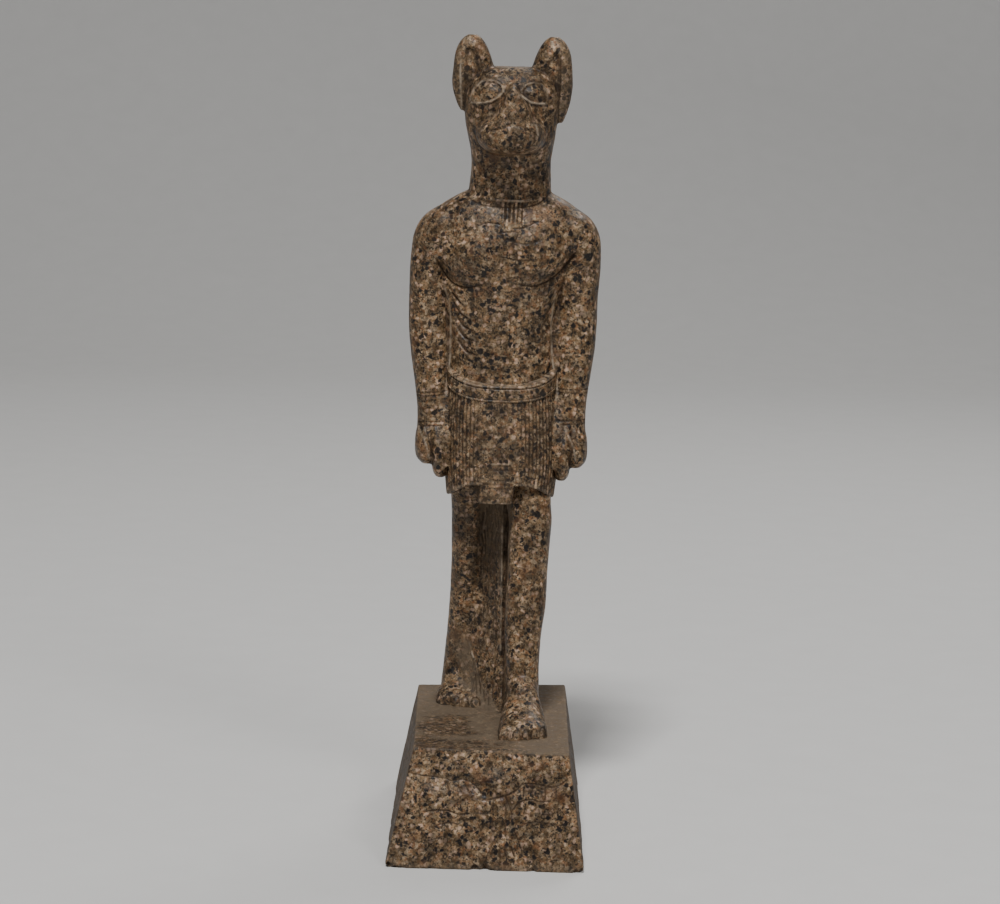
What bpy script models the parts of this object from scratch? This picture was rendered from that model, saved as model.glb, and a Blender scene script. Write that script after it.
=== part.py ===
"""Striding cat-headed goddess with her plinth and back pillar, carved from one block of granite.

The figure faces -Y and stands on a plinth whose underside is at z = 0.
"""
import bpy
import bmesh
import numpy as np
from mathutils import Matrix

# Plinth, in metres
PLINTH_WIDTH = 0.0972
PLINTH_DEPTH = 0.156
PLINTH_HEIGHT = 0.0560
# How far each top corner stands in from the corner below it: left or right, and front or back
FRONT_LEFT_INSET = (0.0124, 0.0180)
FRONT_RIGHT_INSET = (0.0090, 0.0125)
BACK_RIGHT_INSET = (0.0088, 0.0020)
BACK_LEFT_INSET = (0.0106, 0.0110)

# Figure, in metres: from the soles to the ear tips, and its axis from the plinth's middle
FIGURE_HEIGHT = 0.3425
FIGURE_X = 0.0019

# Back pillar and the web of stone between the legs, in metres
PILLAR_WIDTH = 0.030
PILLAR_BACK = 0.0645
PILLAR_HEIGHT = 0.252
SUNK = 0.006

# The hand-carved figure leans a little: sideways shift in units at each height over the soles
LEAN = ((0, 0.0), (125, 0.3), (160, -0.4), (195, -0.9), (215, -0.9), (240, 0.0), (265, 0.5), (342, 0.4))

# Carving, in metres
PLEAT_WIDTH = 0.0022
PLEAT_DEPTH = 0.0007
BELT_HEIGHT = 0.0088
BELT_PROUD = 0.0016
APRON_PROUD = 0.0016
RELIEF_HEIGHT = 0.0011

# Bird with spread wings on the plinth's front, in metres from its middle and from the ground
BIRD_X = 0.0065
WING_SPANS = ((-1, 0.0415), (1, 0.0320))
# Outlines as shares of a wing's span, and heights: the top edge, then the lower edge of each row of feathers
WING_TOP = ((0.08, 0.0345), (0.18, 0.0385), (0.34, 0.0408), (0.62, 0.0410), (1.0, 0.0430))
WING_ROWS = (
    ((1.0, 0.0225), (0.70, 0.0220), (0.36, 0.0205), (0.10, 0.0190)),
    ((1.0, 0.0275), (0.66, 0.0272), (0.34, 0.0260), (0.10, 0.0230)),
    ((1.0, 0.0345), (0.62, 0.0342), (0.34, 0.0335), (0.10, 0.0275)),
)
WING_FADE = 0.12
BIRD_BODY = ((-0.0030, 0.0350), (0.0030, 0.0350), (0.0036, 0.0280), (0.0028, 0.0180), (-0.0028, 0.0180),
             (-0.0036, 0.0280))
BIRD_TAIL = ((-0.0026, 0.0190), (0.0026, 0.0190), (0.0078, 0.0045), (-0.0072, 0.0045))
DISC_CENTRE = (0.0040, 0.0410)
DISC_WIDTH = 0.0105
DISC_HEIGHT = 0.0091
# How wide the relief's edges and the wings' upper slopes are
RELIEF_EDGE = 0.0018
WING_SLOPE = 0.008
PANEL_GRID = 0.0008

# Fineness of the carved surface
CARVING_GRID = 0.0011
FIGURE_TRIANGLES = 5900
PLINTH_TRIANGLES = 1500
SLIVER = 0.00001
# Forms run softly into each other at the shoulders, over the cheeks and chin, over the nose's bridge,
# and where the web leaves the back leg. Each limit gives what is measured, in units, then where the
# softening starts and where it is full
SOFTENING_ROUNDS = 11
SOFTENING_SHARE = 0.6
SOFT_ZONES = (
    (("z", 224, 238), ("z", 266, 261), ("across", 12, 18)),
    (("z", 280, 286), ("z", 318, 311), ("y", 17, 13)),
    (("z", 315.5, 318), ("z", 328, 325), ("across", 9, 6), ("y", 22, 18)),
    (("x", -22, -18), ("x", -1, -6), ("z", 120, 110), ("z", 2, 8), ("y", 16, 22)),
)

# One unit is a millimetre on a figure of 342.5 mm: the tables below are shares of the figure's height
UNIT = FIGURE_HEIGHT / 342.5

# Level sections: height over the soles, middle in x, half width, then front, middle and back in y
TORSO = (
    (116, 0, 22.0, 16, 33, 50),
    (150, -0.2, 26.0, 13.5, 33, 51),
    (165, -0.4, 27.4, 12.5, 33, 50.5),
    (177, -0.6, 27.4, 13.5, 33, 50),
    (187, -0.8, 27.0, 15, 33, 49),
    (200, -1.0, 27.6, 15, 33, 49),
    (211, -1.0, 29.4, 14, 34, 50),
    (221, -0.8, 32.2, 12, 34, 51),
    (231, -0.4, 35.6, 10.5, 34, 52),
    (241, 0, 38.0, 11, 34, 52),
    (249, 0, 38.6, 13, 34, 51),
    (253, 0, 37.2, 14.5, 34, 50.5),
    (256.5, 0, 34.6, 16, 34, 50),
    (259.5, 0, 31.0, 17.2, 34, 49.5),
    (262, 0, 26.6, 18.2, 34, 49.5),
    (264.5, 0, 21.6, 19, 34, 50),
)
HEAD = (
    (256, 0.2, 21.2, 17.0, 34, 51),
    (264, 0.3, 20.8, 16.5, 34, 52),
    (271, 0.4, 20.3, 16.0, 34, 53),
    (279, 0.4, 19.9, 15.0, 34, 54),
    (286, 0.4, 20.6, 12.5, 33, 55),
    (293, 0.3, 22.0, 9.5, 32, 56),
    (301, 0, 23.2, 8.5, 31, 56),
    (311, 0, 23.8, 8.5, 31, 55),
    (318, 0, 22.8, 10.5, 31, 53),
    (323.5, 0, 20.0, 14.5, 31, 50),
    (327, 0, 14.5, 20.0, 31, 44),
)
ARM = (
    (258.6, 26.5, 4.2, 28, 34, 40),
    (256.4, 28.5, 6.9, 25.5, 34, 42.5),
    (254.2, 30.6, 8.4, 24.4, 34, 43.6),
    (252, 32.6, 9.3, 23.8, 34, 44.4),
    (248.2, 35.0, 9.8, 23.2, 34, 45),
    (244, 36.8, 9.9, 22.8, 34, 45.3),
    (239, 38.2, 9.5, 22.5, 34, 45.5),
    (226, 38.7, 9.5, 23.0, 34.5, 46),
    (212, 37.8, 10.1, 24.0, 35, 47),
    (199, 36.9, 10.9, 24.5, 35.5, 47.5),
    (187, 36.3, 10.8, 23.5, 34.5, 46.5),
    (175, 35.7, 9.7, 22.0, 33, 44),
    (163, 35.3, 8.3, 20.5, 30.5, 41),
    (150, 35.4, 7.3, 19.5, 28.5, 38),
    (141, 35.6, 7.4, 19.0, 27, 37),
)
SHOULDER = (
    (256.5, 28.0, 5.0, 25, 34, 43),
    (252.5, 30.5, 9.6, 20.8, 34, 46),
    (246, 33.0, 12.0, 18.8, 34, 47),
    (238, 33.8, 12.4, 19.0, 34, 47),
    (230, 35.4, 11.2, 20.8, 34.5, 46.5),
    (220, 36.8, 10.2, 22.6, 35, 46),
    (210, 37.4, 9.4, 24.6, 35, 46),
)
# Stone left between each arm and the body
ARM_WEB = (
    (238, 32.0, 6.0, 29, 36, 44),
    (200, 28.0, 7.0, 28, 37, 45),
    (168, 29.0, 6.4, 24, 33, 42),
    (150, 29.0, 5.8, 18.5, 29, 40),
    (138, 28.6, 5.4, 15.0, 27, 38),
    (126, 28.0, 4.4, 14.0, 26, 36),
)
HAND_EDGE = (
    (149, 36.4, 4.6, 20.5, 28, 35),
    (143, 38.0, 5.2, 17.5, 27, 36),
    (136, 38.4, 5.5, 15.5, 27, 37),
    (130, 38.2, 5.2, 16, 27, 36),
    (126.5, 37.4, 3.4, 19, 27, 33),
)
THUMB = (
    (150, 34.0, 3.0, 19.5, 27, 34),
    (143, 32.6, 4.2, 16.0, 26, 35),
    (135, 31.2, 4.5, 13.0, 24, 35),
    (128, 30.8, 4.5, 12.5, 23, 33),
    (123, 30.6, 4.0, 14.0, 22, 30),
    (120, 30.6, 2.4, 17.5, 22, 26),
)
BACK_LEG = (
    (124, -14.0, 12.5, 24, 37, 50),
    (108, -14.6, 10.6, 26, 38, 51),
    (99, -15.0, 9.6, 28, 39, 51),
    (85, -15.0, 9.2, 29.5, 40, 51),
    (74, -15.1, 8.8, 32, 41.5, 52),
    (58, -15.4, 8.7, 34, 43, 54),
    (40, -17.6, 7.4, 37, 45, 54),
    (28, -19.5, 6.3, 39, 47, 55),
    (17, -20.1, 6.5, 40, 49, 58),
    (7, -20.1, 7.2, 40, 50, 62),
    (-6, -20.0, 7.4, 41, 50, 62),
)
FRONT_LEG = (
    (124, 13.5, 11.5, 11, 23, 42),
    (108, 14.8, 11.2, 6.5, 19, 36),
    (99, 15.8, 10.8, 4.5, 16.5, 31),
    (85, 15.4, 10.5, 2.0, 13, 26),
    (75, 15.2, 10.1, 1.5, 11.5, 24),
    (60, 14.8, 10.3, -0.5, 9.5, 23),
    (41, 13.9, 9.2, -3.0, 6, 18),
    (26, 14.3, 8.2, -5.0, 3, 12.5),
    (14, 14.6, 8.4, -6.5, 3, 12),
    (-6, 14.6, 8.6, -7.0, 3, 12),
)
# Ear: a leaf whose tip leans out
EAR = (
    (300, 24.2, 1.4, 26.5, 29, 31.5),
    (305, 24.4, 3.2, 24.0, 29, 33.0),
    (311, 23.6, 5.6, 22.0, 29, 34.5),
    (318, 22.0, 8.2, 20.5, 29, 35.5),
    (325, 19.6, 10.2, 19.5, 28.5, 35.5),
    (330, 19.8, 9.5, 19.5, 28, 35.0),
    (334, 20.2, 8.5, 20.0, 27.5, 34.0),
    (338, 20.4, 6.8, 21.0, 27, 32.5),
    (341, 20.4, 4.6, 22.5, 26.5, 30.5),
    (342.7, 20.4, 2.2, 24.5, 26.5, 28.5),
)
# The left ear's lower end is cut higher than the right one's
EAR_MIDDLE = 325
LEFT_EAR_LIFT = 5.0
# Upright sections: place in y, middle in x, middle height, half width, then rise and drop
MUZZLE = (
    (14, 0, 295, 18.0, 9.0, 10.6),
    (8, 0, 295, 16.6, 9.0, 10.4),
    (4, 0, 295, 15.4, 8.8, 10.0),
    (1, 0, 295, 14.2, 8.6, 9.4),
    (-1.5, 0, 295, 12.8, 8.0, 8.4),
    (-3.4, 0, 294.8, 10.6, 6.8, 6.8),
    (-4.6, 0, 294.4, 7.6, 4.6, 4.8),
    (-5.2, 0, 294, 4.0, 2.4, 2.6),
)
# The upright part of the snout between the nose and the mouth
SNOUT = (
    (14, 0.9, 304, 9.4, 10.5, 9),
    (4, 0.9, 304, 8.6, 10.2, 9),
    (0.6, 0.9, 304, 7.9, 9.6, 9),
    (-1.2, 0.9, 303.6, 7.2, 8.8, 8),
    (-2.4, 0.9, 303, 6.4, 7.4, 7),
    (-3.5, 0.9, 302, 4.6, 5.0, 6),
)
NOSE = (
    (16, 0.4, 314.4, 4.3, 6.2, 2.2),
    (8, 0.4, 314.4, 4.2, 5.8, 2.2),
    (3, 0.4, 314.4, 4.1, 5.0, 2.1),
    (0.6, 0.4, 314.3, 4.0, 4.2, 2.0),
    (-1.5, 0.4, 314.1, 3.8, 3.0, 1.8),
    (-2.9, 0.4, 313.9, 3.4, 1.8, 1.4),
    (-3.5, 0.4, 313.7, 2.4, 0.9, 0.9),
)
FRONT_FOOT = (
    (11, 14.6, -2, 5.5, 11, 5),
    (7, 14.6, -2, 8.0, 20, 5),
    (0, 14.6, -2, 8.8, 29, 5),
    (-8, 14.8, -2, 10.0, 23.5, 5),
    (-16, 14.9, -2, 11.6, 17.5, 5),
    (-26, 15.1, -2, 12.4, 12.5, 5),
    (-35, 15.2, -2, 12.1, 9.4, 5),
    (-38.5, 14.2, -2, 10.6, 7.6, 5),
)
BACK_FOOT = (
    (63, -20.0, -2, 6.0, 12, 5),
    (56, -20.2, -2, 7.4, 20, 5),
    (48, -20.2, -2, 7.6, 25, 5),
    (42, -19.4, -2, 8.6, 20, 5),
    (36, -18.4, -2, 10.0, 14.5, 5),
    (30, -17.8, -2, 11.2, 10.5, 5),
    (27, -17.7, -2, 11.1, 9.2, 5),
    (24.5, -17.0, -2, 10.0, 7.6, 5),
)
# Toes from the big toe out: across the foot, half width, and how far the tip lies behind the big toe's
TOES = ((-8.6, 3.8, 0), (-3.2, 2.8, 0.6), (1.3, 2.6, 2.0), (5.6, 2.5, 4.2), (9.6, 2.4, 7.2))
TOE_LENGTH = 11
TOE_HEIGHT = 6.2
# Plan of the web between the legs at eight heights, from its left: it runs on from the back leg,
# has a thin upright edge by the front leg, and flares out over the plinth beside the back foot
WEB = (
    (122, ((-16, 36), (-8, 32), (1.6, 21.5), (2.7, 22), (4.8, 23), (7, 18), (18, 20), (18, 56), (-14, 56))),
    (95, ((-16, 36), (-8, 32), (1.8, 19), (2.9, 19.5), (4.8, 20.5), (6.8, 15), (18, 18), (18, 56), (-14, 56))),
    (60, ((-16.5, 38), (-8, 35.5), (2, 21), (3.1, 22), (4.8, 22.8), (6.5, 15), (18, 17), (18, 56), (-14, 56))),
    (36, ((-19, 40), (-13.9, 37), (2.3, 23), (3.3, 24), (4.8, 24.8), (6.2, 14), (17, 12),
          (18, 56), (-14, 56))),
    (22, ((-19, 39), (-10.6, 33), (2.6, 22), (3.5, 22.5), (4.8, 23.2), (6.2, 10), (16, 9),
          (16, 56), (-14, 56))),
    (10, ((-18, 35), (-5.9, 26), (3.4, 18), (4.2, 18), (4.8, 17.5), (6, 5), (16, 5), (16, 56), (-14, 56))),
    (3, ((-17, 28), (1.6, 14), (3.6, 12), (4.4, 11), (5.0, 10), (6, 3), (16, 3), (16, 56), (-14, 56))),
    (-6, ((-17, 22), (3.0, 6), (4.2, 5.5), (4.8, 5), (5.4, 4), (6, 2), (16, 3), (16, 56), (-14, 56))),
)
# The flare's edge, seen from the front
FLARE = ((-15.9, 35.6), (-10.6, 22.3), (-5.9, 9.8), (1.6, 3.6))
# Where the pillar's hidden front lies inside the body
PILLAR_FRONT = 40

# Kilt: height at the sides, half width, then front, middle and back
KILT = (
    (169, 27.2, 11.6, 33, 51.5),
    (150, 28.4, 8.4, 33, 52.5),
    (130, 28.8, 4.6, 33, 53.0),
    (110.5, 27.2, 2.2, 33, 52.5),
)
KILT_SQUARENESS = 2.8
HEM_RISE = 9.0
HEM_FLAT = 0.42
# The kilt is hollow below this height, where the legs come out
KILT_LID = 124
BELT_SIDE = 169.2
BELT_DIP = 9.2
BELT_BACK_RISE = 6.0
BACK_COLUMNS = 14
# The belt's section: share of its height, and how proud it stands
BELT_PROFILE = ((0, 0.2), (0.08, 0.95), (0.68, 0.88), (0.77, 0.5), (0.86, 0.9), (0.94, 0.75), (1, 0.1))
# Apron: height, middle in x, half width and front
APRON = ((130.8, 0.0, 5.4, 4.9), (120.5, -0.9, 8.8, 3.2), (109.8, -2.8, 8.6, 1.6))
APRON_RIDGES = 5
RIDGE_DEPTH = 0.45

# Lines of the face and body, seen from the front: x and height over the soles
EYE_BALLS = ((-11.2, 316.0), (10.8, 315.9))
EYE_RIMS = (
    ((-4.4, 315.7), (-5.4, 318.6), (-9.0, 320.7), (-13.9, 320.7), (-17.3, 318.3), (-19.6, 314.9),
     (-20.9, 310.8)),
    ((4.4, 315.3), (5.7, 318.2), (8.4, 319.9), (11.6, 320.2), (14.8, 319.1), (17.0, 316.2), (18.2, 312.4)),
)
LOWER_LIDS = (
    ((-4.4, 315.7), (-6.3, 313.0), (-9.5, 311.1), (-13.9, 309.8), (-17.6, 309.3), (-21.0, 310.5)),
    ((4.4, 314.7), (6.6, 312.4), (9.5, 311.0), (13.2, 310.2), (18.6, 310.2)),
)
MOUTH = ((-13.4, 296.0), (-9.1, 297.2), (-5.8, 297.8), (-2.2, 299.3), (1.1, 300.0), (4.7, 299.5),
         (7.7, 297.9), (10.7, 296.7), (13.2, 295.6))
CHEEK_RIDGE = ((6.8, 312.6), (10.4, 307.4), (12.6, 301.6), (13.6, 296.2))
CHEEK_HOLLOW = ((-12.2, 304.6), (-7.2, 304.8), (-6.2, 301.2), (-6.8, 298.6), (-11.3, 298.2), (-14.0, 300.6))
EAR_BOWLS = (
    ((-24.5, 336.0), (-21.5, 337.6), (-18.3, 335.4), (-15.9, 331.2), (-14.6, 325.7), (-12.8, 322.4),
     (-17.3, 319.0), (-21.4, 314.4), (-23.1, 309.2), (-24.3, 304.8), (-24.9, 318.0), (-25.1, 329.0)),
    ((22.0, 337.2), (18.7, 334.2), (15.4, 329.6), (13.0, 325.0), (16.0, 322.1), (19.8, 317.8), (22.6, 312.0),
     (24.0, 306.9), (24.6, 318.0), (24.6, 330.5)),
)
PECTORALS = (
    ((-10.0, 219.8), (-15.0, 217.9), (-20.5, 217.4), (-26.0, 219.2), (-30.6, 223.8), (-34.4, 230.4)),
    ((8.0, 219.8), (13.0, 219.0), (18.5, 220.0), (24.6, 223.6), (30.4, 229.4), (35.0, 236.8)),
)
COLLAR = ((-22.5, 265.4), (-16.0, 262.6), (-8.0, 261.4), (0.5, 261.2), (9.0, 261.4), (17.0, 262.6),
          (23.3, 265.4))
PENDANT_WING = ((1.8, 240.5), (6.0, 245.5), (11.0, 248.2), (16.2, 247.6), (13.0, 241.5), (8.0, 236.5),
                (1.8, 233.5))
PENDANT_X = 1.6
# Strands of the necklace: how far apart they hang, and the heights that they pass
STRAND_SPACING = 2.1
STRAND_HEIGHTS = (260.5, 254.0, 247.0)
# Soft swelling of each breast: its middle, half width, half height and rise
BREAST = ((17.0, 231.0), 19.0, 17.0, 2.6)
RIBS = (
    ((29.6, 219.0), (25.6, 213.6), (21.4, 208.9), (15.6, 205.7)),
    ((26.0, 211.0), (21.4, 203.6), (16.2, 200.7)),
    ((24.4, 204.4), (19.6, 197.4), (13.8, 194.9)),
    ((23.8, 198.4), (18.7, 191.6), (12.9, 189.9)),
    ((22.8, 190.9), (17.8, 184.8), (12.7, 183.2)),
)


def smooth_rows(rows, steps):
    """Rows along a smooth curve through the given rows, with this many steps between each pair."""
    rows = np.array(rows, dtype=float)
    padded = np.vstack((2 * rows[0] - rows[1], rows, 2 * rows[-1] - rows[-2]))
    result = []
    for i in range(1, len(padded) - 2):
        before, start, end, after = padded[i - 1:i + 3]
        for t in np.arange(steps) / steps:
            result.append(0.5 * (2 * start + (end - before) * t
                                 + (2 * before - 5 * start + 4 * end - after) * t ** 2
                                 + (3 * start - before - 3 * end + after) * t ** 3))
    result.append(rows[-1])
    return np.array(result)


def closed_loft(name, rings):
    """A solid through rings of as many points each, its ends closed with flat fans."""
    bm = bmesh.new()
    loops = [[bm.verts.new(point) for point in ring] for ring in rings]
    count = len(loops[0])
    for lower, upper in zip(loops, loops[1:]):
        for i in range(count):
            j = (i + 1) % count
            bm.faces.new((lower[i], lower[j], upper[j], upper[i]))
    for loop in (loops[0], loops[-1]):
        middle = bm.verts.new(sum((v.co for v in loop), loop[0].co * 0) / count)
        for i in range(count):
            bm.faces.new((loop[i], loop[(i + 1) % count], middle))
    bmesh.ops.recalc_face_normals(bm, faces=bm.faces)
    mesh = bpy.data.meshes.new(name)
    bm.to_mesh(mesh)
    bm.free()
    solid = bpy.data.objects.new(name, mesh)
    workshop.objects.link(solid)
    return solid


def rounded(angle, squareness):
    """Cosine and sine of a circle that is pressed toward a square."""
    c = np.cos(angle)
    s = np.sin(angle)
    power = 2 / squareness
    return np.sign(c) * np.abs(c) ** power, np.sign(s) * np.abs(s) ** power


def level_ring(z, x, half_width, front, middle, back, sides=32, squareness=2.2):
    """A level section in units: half an oval toward the front and half toward the back."""
    across, along = rounded(np.arange(sides) * 2 * np.pi / sides, squareness)
    depth = np.where(along > 0, middle - front, back - middle)
    points = np.column_stack((x + across * half_width, middle - along * depth, np.full(sides, z)))
    return points * UNIT


def upright_ring(y, x, z, half_width, rise, drop, sides=28, squareness=2.4, taper=0.0):
    """An upright section in units, across the figure; taper narrows its upper half."""
    across, along = rounded(np.arange(sides) * 2 * np.pi / sides, squareness)
    across = across * (1 - taper * np.clip(along, 0, 1))
    height = np.where(along > 0, rise, drop)
    points = np.column_stack((x + across * half_width, np.full(sides, y), z + along * height))
    return points * UNIT


def level_loft(name, table, side=1, **section):
    """A body through level sections; side -1 mirrors it to the figure's other side."""
    rings = [level_ring(*row, **section) for row in smooth_rows(table, 4)]
    return closed_loft(name, [ring * (side, 1, 1) for ring in rings])


def upright_loft(name, table, **section):
    """A body through upright sections."""
    return closed_loft(name, [upright_ring(*row, **section) for row in smooth_rows(table, 4)])


def ear_rows(lift):
    """The ear's sections, with its lower end raised by this much."""
    span = EAR_MIDDLE - EAR[0][0]
    return [(z + lift * max(0, EAR_MIDDLE - z) / span, *row) for z, *row in EAR]


def toe_lofts(foot, x, tip, outward):
    """Five toes side by side; outward is the side of the little toe."""
    toes = []
    for number, (across, half_width, behind) in enumerate(TOES):
        toe_x = x + outward * across
        end = tip + behind
        rows = ((end + TOE_LENGTH, toe_x, 0, half_width, TOE_HEIGHT, 6),
                (end + TOE_LENGTH / 2, toe_x, 0, half_width, TOE_HEIGHT, 6),
                (end + 1.6, toe_x, 0, half_width * 0.92, TOE_HEIGHT * 0.82, 6),
                (end, toe_x, 0, half_width * 0.5, TOE_HEIGHT * 0.45, 5))
        toes.append(upright_loft(f"{foot}_toe_{number}", rows, sides=16))
    return toes


def web_and_pillar():
    """The stone left between the legs, and the pillar behind the figure."""
    rings = [np.column_stack((plan, np.full(len(plan), z))) * UNIT for z, plan in WEB]
    web = closed_loft("web", rings)
    half = PILLAR_WIDTH / 2
    front = PILLAR_FRONT * UNIT
    plan = ((-half, front), (half, front), (half, PILLAR_BACK), (-half, PILLAR_BACK))
    rings = [[(px, py, z) for px, py in plan] for z in (-SUNK, PILLAR_HEIGHT)]
    pillar = closed_loft("pillar", rings)
    return [web, pillar]


def modified(solid, kind, **settings):
    """Apply one modifier to a solid at once."""
    modifier = solid.modifiers.new(kind.title(), kind)
    for name, value in settings.items():
        setattr(modifier, name, value)
    graph = bpy.context.evaluated_depsgraph_get()
    mesh = bpy.data.meshes.new_from_object(solid.evaluated_get(graph))
    solid.modifiers.clear()
    solid.data = mesh
    return solid


def joined(name, solids):
    """One object that holds the faces of all these solids."""
    bm = bmesh.new()
    for solid in solids:
        bm.from_mesh(solid.data)
        bpy.data.objects.remove(solid)
    mesh = bpy.data.meshes.new(name)
    bm.to_mesh(mesh)
    bm.free()
    whole = bpy.data.objects.new(name, mesh)
    workshop.objects.link(whole)
    return whole


def step(values, low, high):
    """A smooth step from 0 at the low value to 1 at the high one."""
    share = np.clip((values - low) / (high - low), 0, 1)
    return share * share * (3 - 2 * share)


def line_distance(points, x, z):
    """Distance from each place to a line through the points, and the share of the line's length there."""
    nearest = np.full(len(x), np.inf)
    reached = np.zeros(len(x))
    lengths = np.hypot(*np.diff(np.asarray(points), axis=0).T)
    starts = np.concatenate(((0,), np.cumsum(lengths)))
    for number, ((ax, az), (bx, bz)) in enumerate(zip(points, points[1:])):
        run_x = bx - ax
        run_z = bz - az
        share = np.clip(((x - ax) * run_x + (z - az) * run_z) / (run_x ** 2 + run_z ** 2), 0, 1)
        distance = np.hypot(x - ax - share * run_x, z - az - share * run_z)
        closer = distance < nearest
        nearest = np.where(closer, distance, nearest)
        reached = np.where(closer, (starts[number] + share * lengths[number]) / starts[-1], reached)
    return nearest, reached


def inside(points, x, z):
    """Which places lie inside a closed outline."""
    found = np.zeros(len(x), dtype=bool)
    for (ax, az), (bx, bz) in zip(points, np.roll(points, -1, axis=0)):
        if az != bz:
            crossed = (az > z) != (bz > z)
            found ^= crossed & (x < ax + (z - az) / (bz - az) * (bx - ax))
    return found


def line_relief(points, width, height, x, z, fades=(0, 0)):
    """Rise of a rounded line; it fades over these shares of its length at its start and end."""
    distance, reached = line_distance(smooth_rows(points, 5), x, z)
    rise = height * step(distance, width / 2, 0)
    if fades[0]:
        rise *= step(reached, 0, fades[0])
    if fades[1]:
        rise *= step(reached, 1, 1 - fades[1])
    return rise


def area_relief(points, edge, height, x, z):
    """Rise of an area, reached over a sloping edge of this width inside its outline."""
    curve = smooth_rows(tuple(points) + (points[0],), 5)[:-1]
    depth, _ = line_distance(np.vstack((curve, curve[0])), x, z)
    return height * step(depth, 0, edge) * inside(curve, x, z)


def swell_relief(centre, half_width, half_height, height, x, z):
    """Rise of a soft oval swelling."""
    reach = np.hypot((x - centre[0]) / half_width, (z - centre[1]) / half_height)
    return height * step(reach, 1, 0)


def body_relief(x, z):
    """Carving on the figure's front, in units, for places given from the front."""
    rise = np.zeros(len(x))
    for ball, rim, lid, bowl, crease in zip(EYE_BALLS, EYE_RIMS, LOWER_LIDS, EAR_BOWLS, PECTORALS):
        rise += swell_relief(ball, 6.4, 4.8, 1.2, x, z)
        rise += line_relief(rim, 2.2, 1.0, x, z, (0.1, 0.25))
        rise += line_relief(lid, 2.0, 1.0, x, z, (0, 0.15))
        rise += area_relief(bowl, 2.4, -1.7, x, z)
        rise += line_relief(crease, 8.0, -2.1, x, z, (0.55, 0.1))
    rise += line_relief(MOUTH, 2.4, -0.8, x, z, (0.08, 0.08))
    rise += line_relief(CHEEK_RIDGE, 3.0, 0.8, x, z, (0.15, 0.15))
    rise += area_relief(CHEEK_HOLLOW, 3.0, -1.6, x, z)
    for side in (-1, 1):
        side_x = side * x
        rise += swell_relief(*BREAST, side_x, z)
        for rib in RIBS:
            rise += line_relief(rib, 2.4, -1.0, side_x, z, (0.1, 0.45))
        rise += area_relief(PENDANT_WING, 1.6, 0.5, side * (x - PENDANT_X), z)
    rise += line_relief(COLLAR, 1.8, 1.0, x, z, (0.2, 0.2))
    rise += line_relief(FLARE, 1.8, 0.5, x, z, (0.2, 0.2))
    for strand in range(-2, 3):
        strand_x = PENDANT_X + strand * STRAND_SPACING
        rise += line_relief([(strand_x, height) for height in STRAND_HEIGHTS], 1.5, 0.6, x, z)
    return rise


def blended(places):
    """Where one form of the figure runs softly into the next, as a share at each place."""
    x, y, z = places.T
    measures = {"x": x, "y": y, "z": z, "across": np.abs(x)}
    total = np.zeros(len(x))
    for zone in SOFT_ZONES:
        share = np.ones(len(x))
        for measure, start, full in zone:
            share *= step(measures[measure], start, full)
        total += share
    return np.clip(total, 0, 1)


def soften(solid):
    """Round off where forms run into each other, by drawing each point toward its neighbours' mean."""
    mesh = solid.data
    count = len(mesh.vertices)
    places = np.empty(count * 3)
    mesh.vertices.foreach_get("co", places)
    places = places.reshape(-1, 3)
    edges = np.empty(len(mesh.edges) * 2, dtype=np.int32)
    mesh.edges.foreach_get("vertices", edges)
    first, second = edges.reshape(-1, 2).T
    degree = np.bincount(first, minlength=count) + np.bincount(second, minlength=count)
    weight = SOFTENING_SHARE * blended(places / UNIT)
    for _ in range(SOFTENING_ROUNDS):
        total = [np.bincount(first, places[second, k], count) + np.bincount(second, places[first, k], count)
                 for k in range(3)]
        mean = np.column_stack(total) / degree[:, None]
        places += weight[:, None] * (mean - places)
    mesh.vertices.foreach_set("co", places.ravel())
    mesh.update()


def carve_front(solid, relief):
    """Move the surface that faces forward by the relief's rise."""
    mesh = solid.data
    count = len(mesh.vertices)
    places = np.empty(count * 3)
    mesh.vertices.foreach_get("co", places)
    normals = np.empty(count * 3)
    mesh.vertex_normals.foreach_get("vector", normals)
    places = places.reshape(-1, 3)
    facing = np.clip((-normals.reshape(-1, 3)[:, 1] - 0.1) / 0.3, 0, 1)
    places[:, 1] -= facing * relief(places[:, 0] / UNIT, places[:, 2] / UNIT) * UNIT
    mesh.vertices.foreach_set("co", places.ravel())
    mesh.update()


def lean_figure(solid):
    """Shift the figure sideways by the lean at each height."""
    heights, shifts = np.array(LEAN).T
    for vertex in solid.data.vertices:
        vertex.co.x += np.interp(vertex.co.z / UNIT, heights, shifts) * UNIT


def triangle_count(solid):
    """How many triangles the solid's faces make."""
    return sum(len(polygon.vertices) - 2 for polygon in solid.data.polygons)


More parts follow.
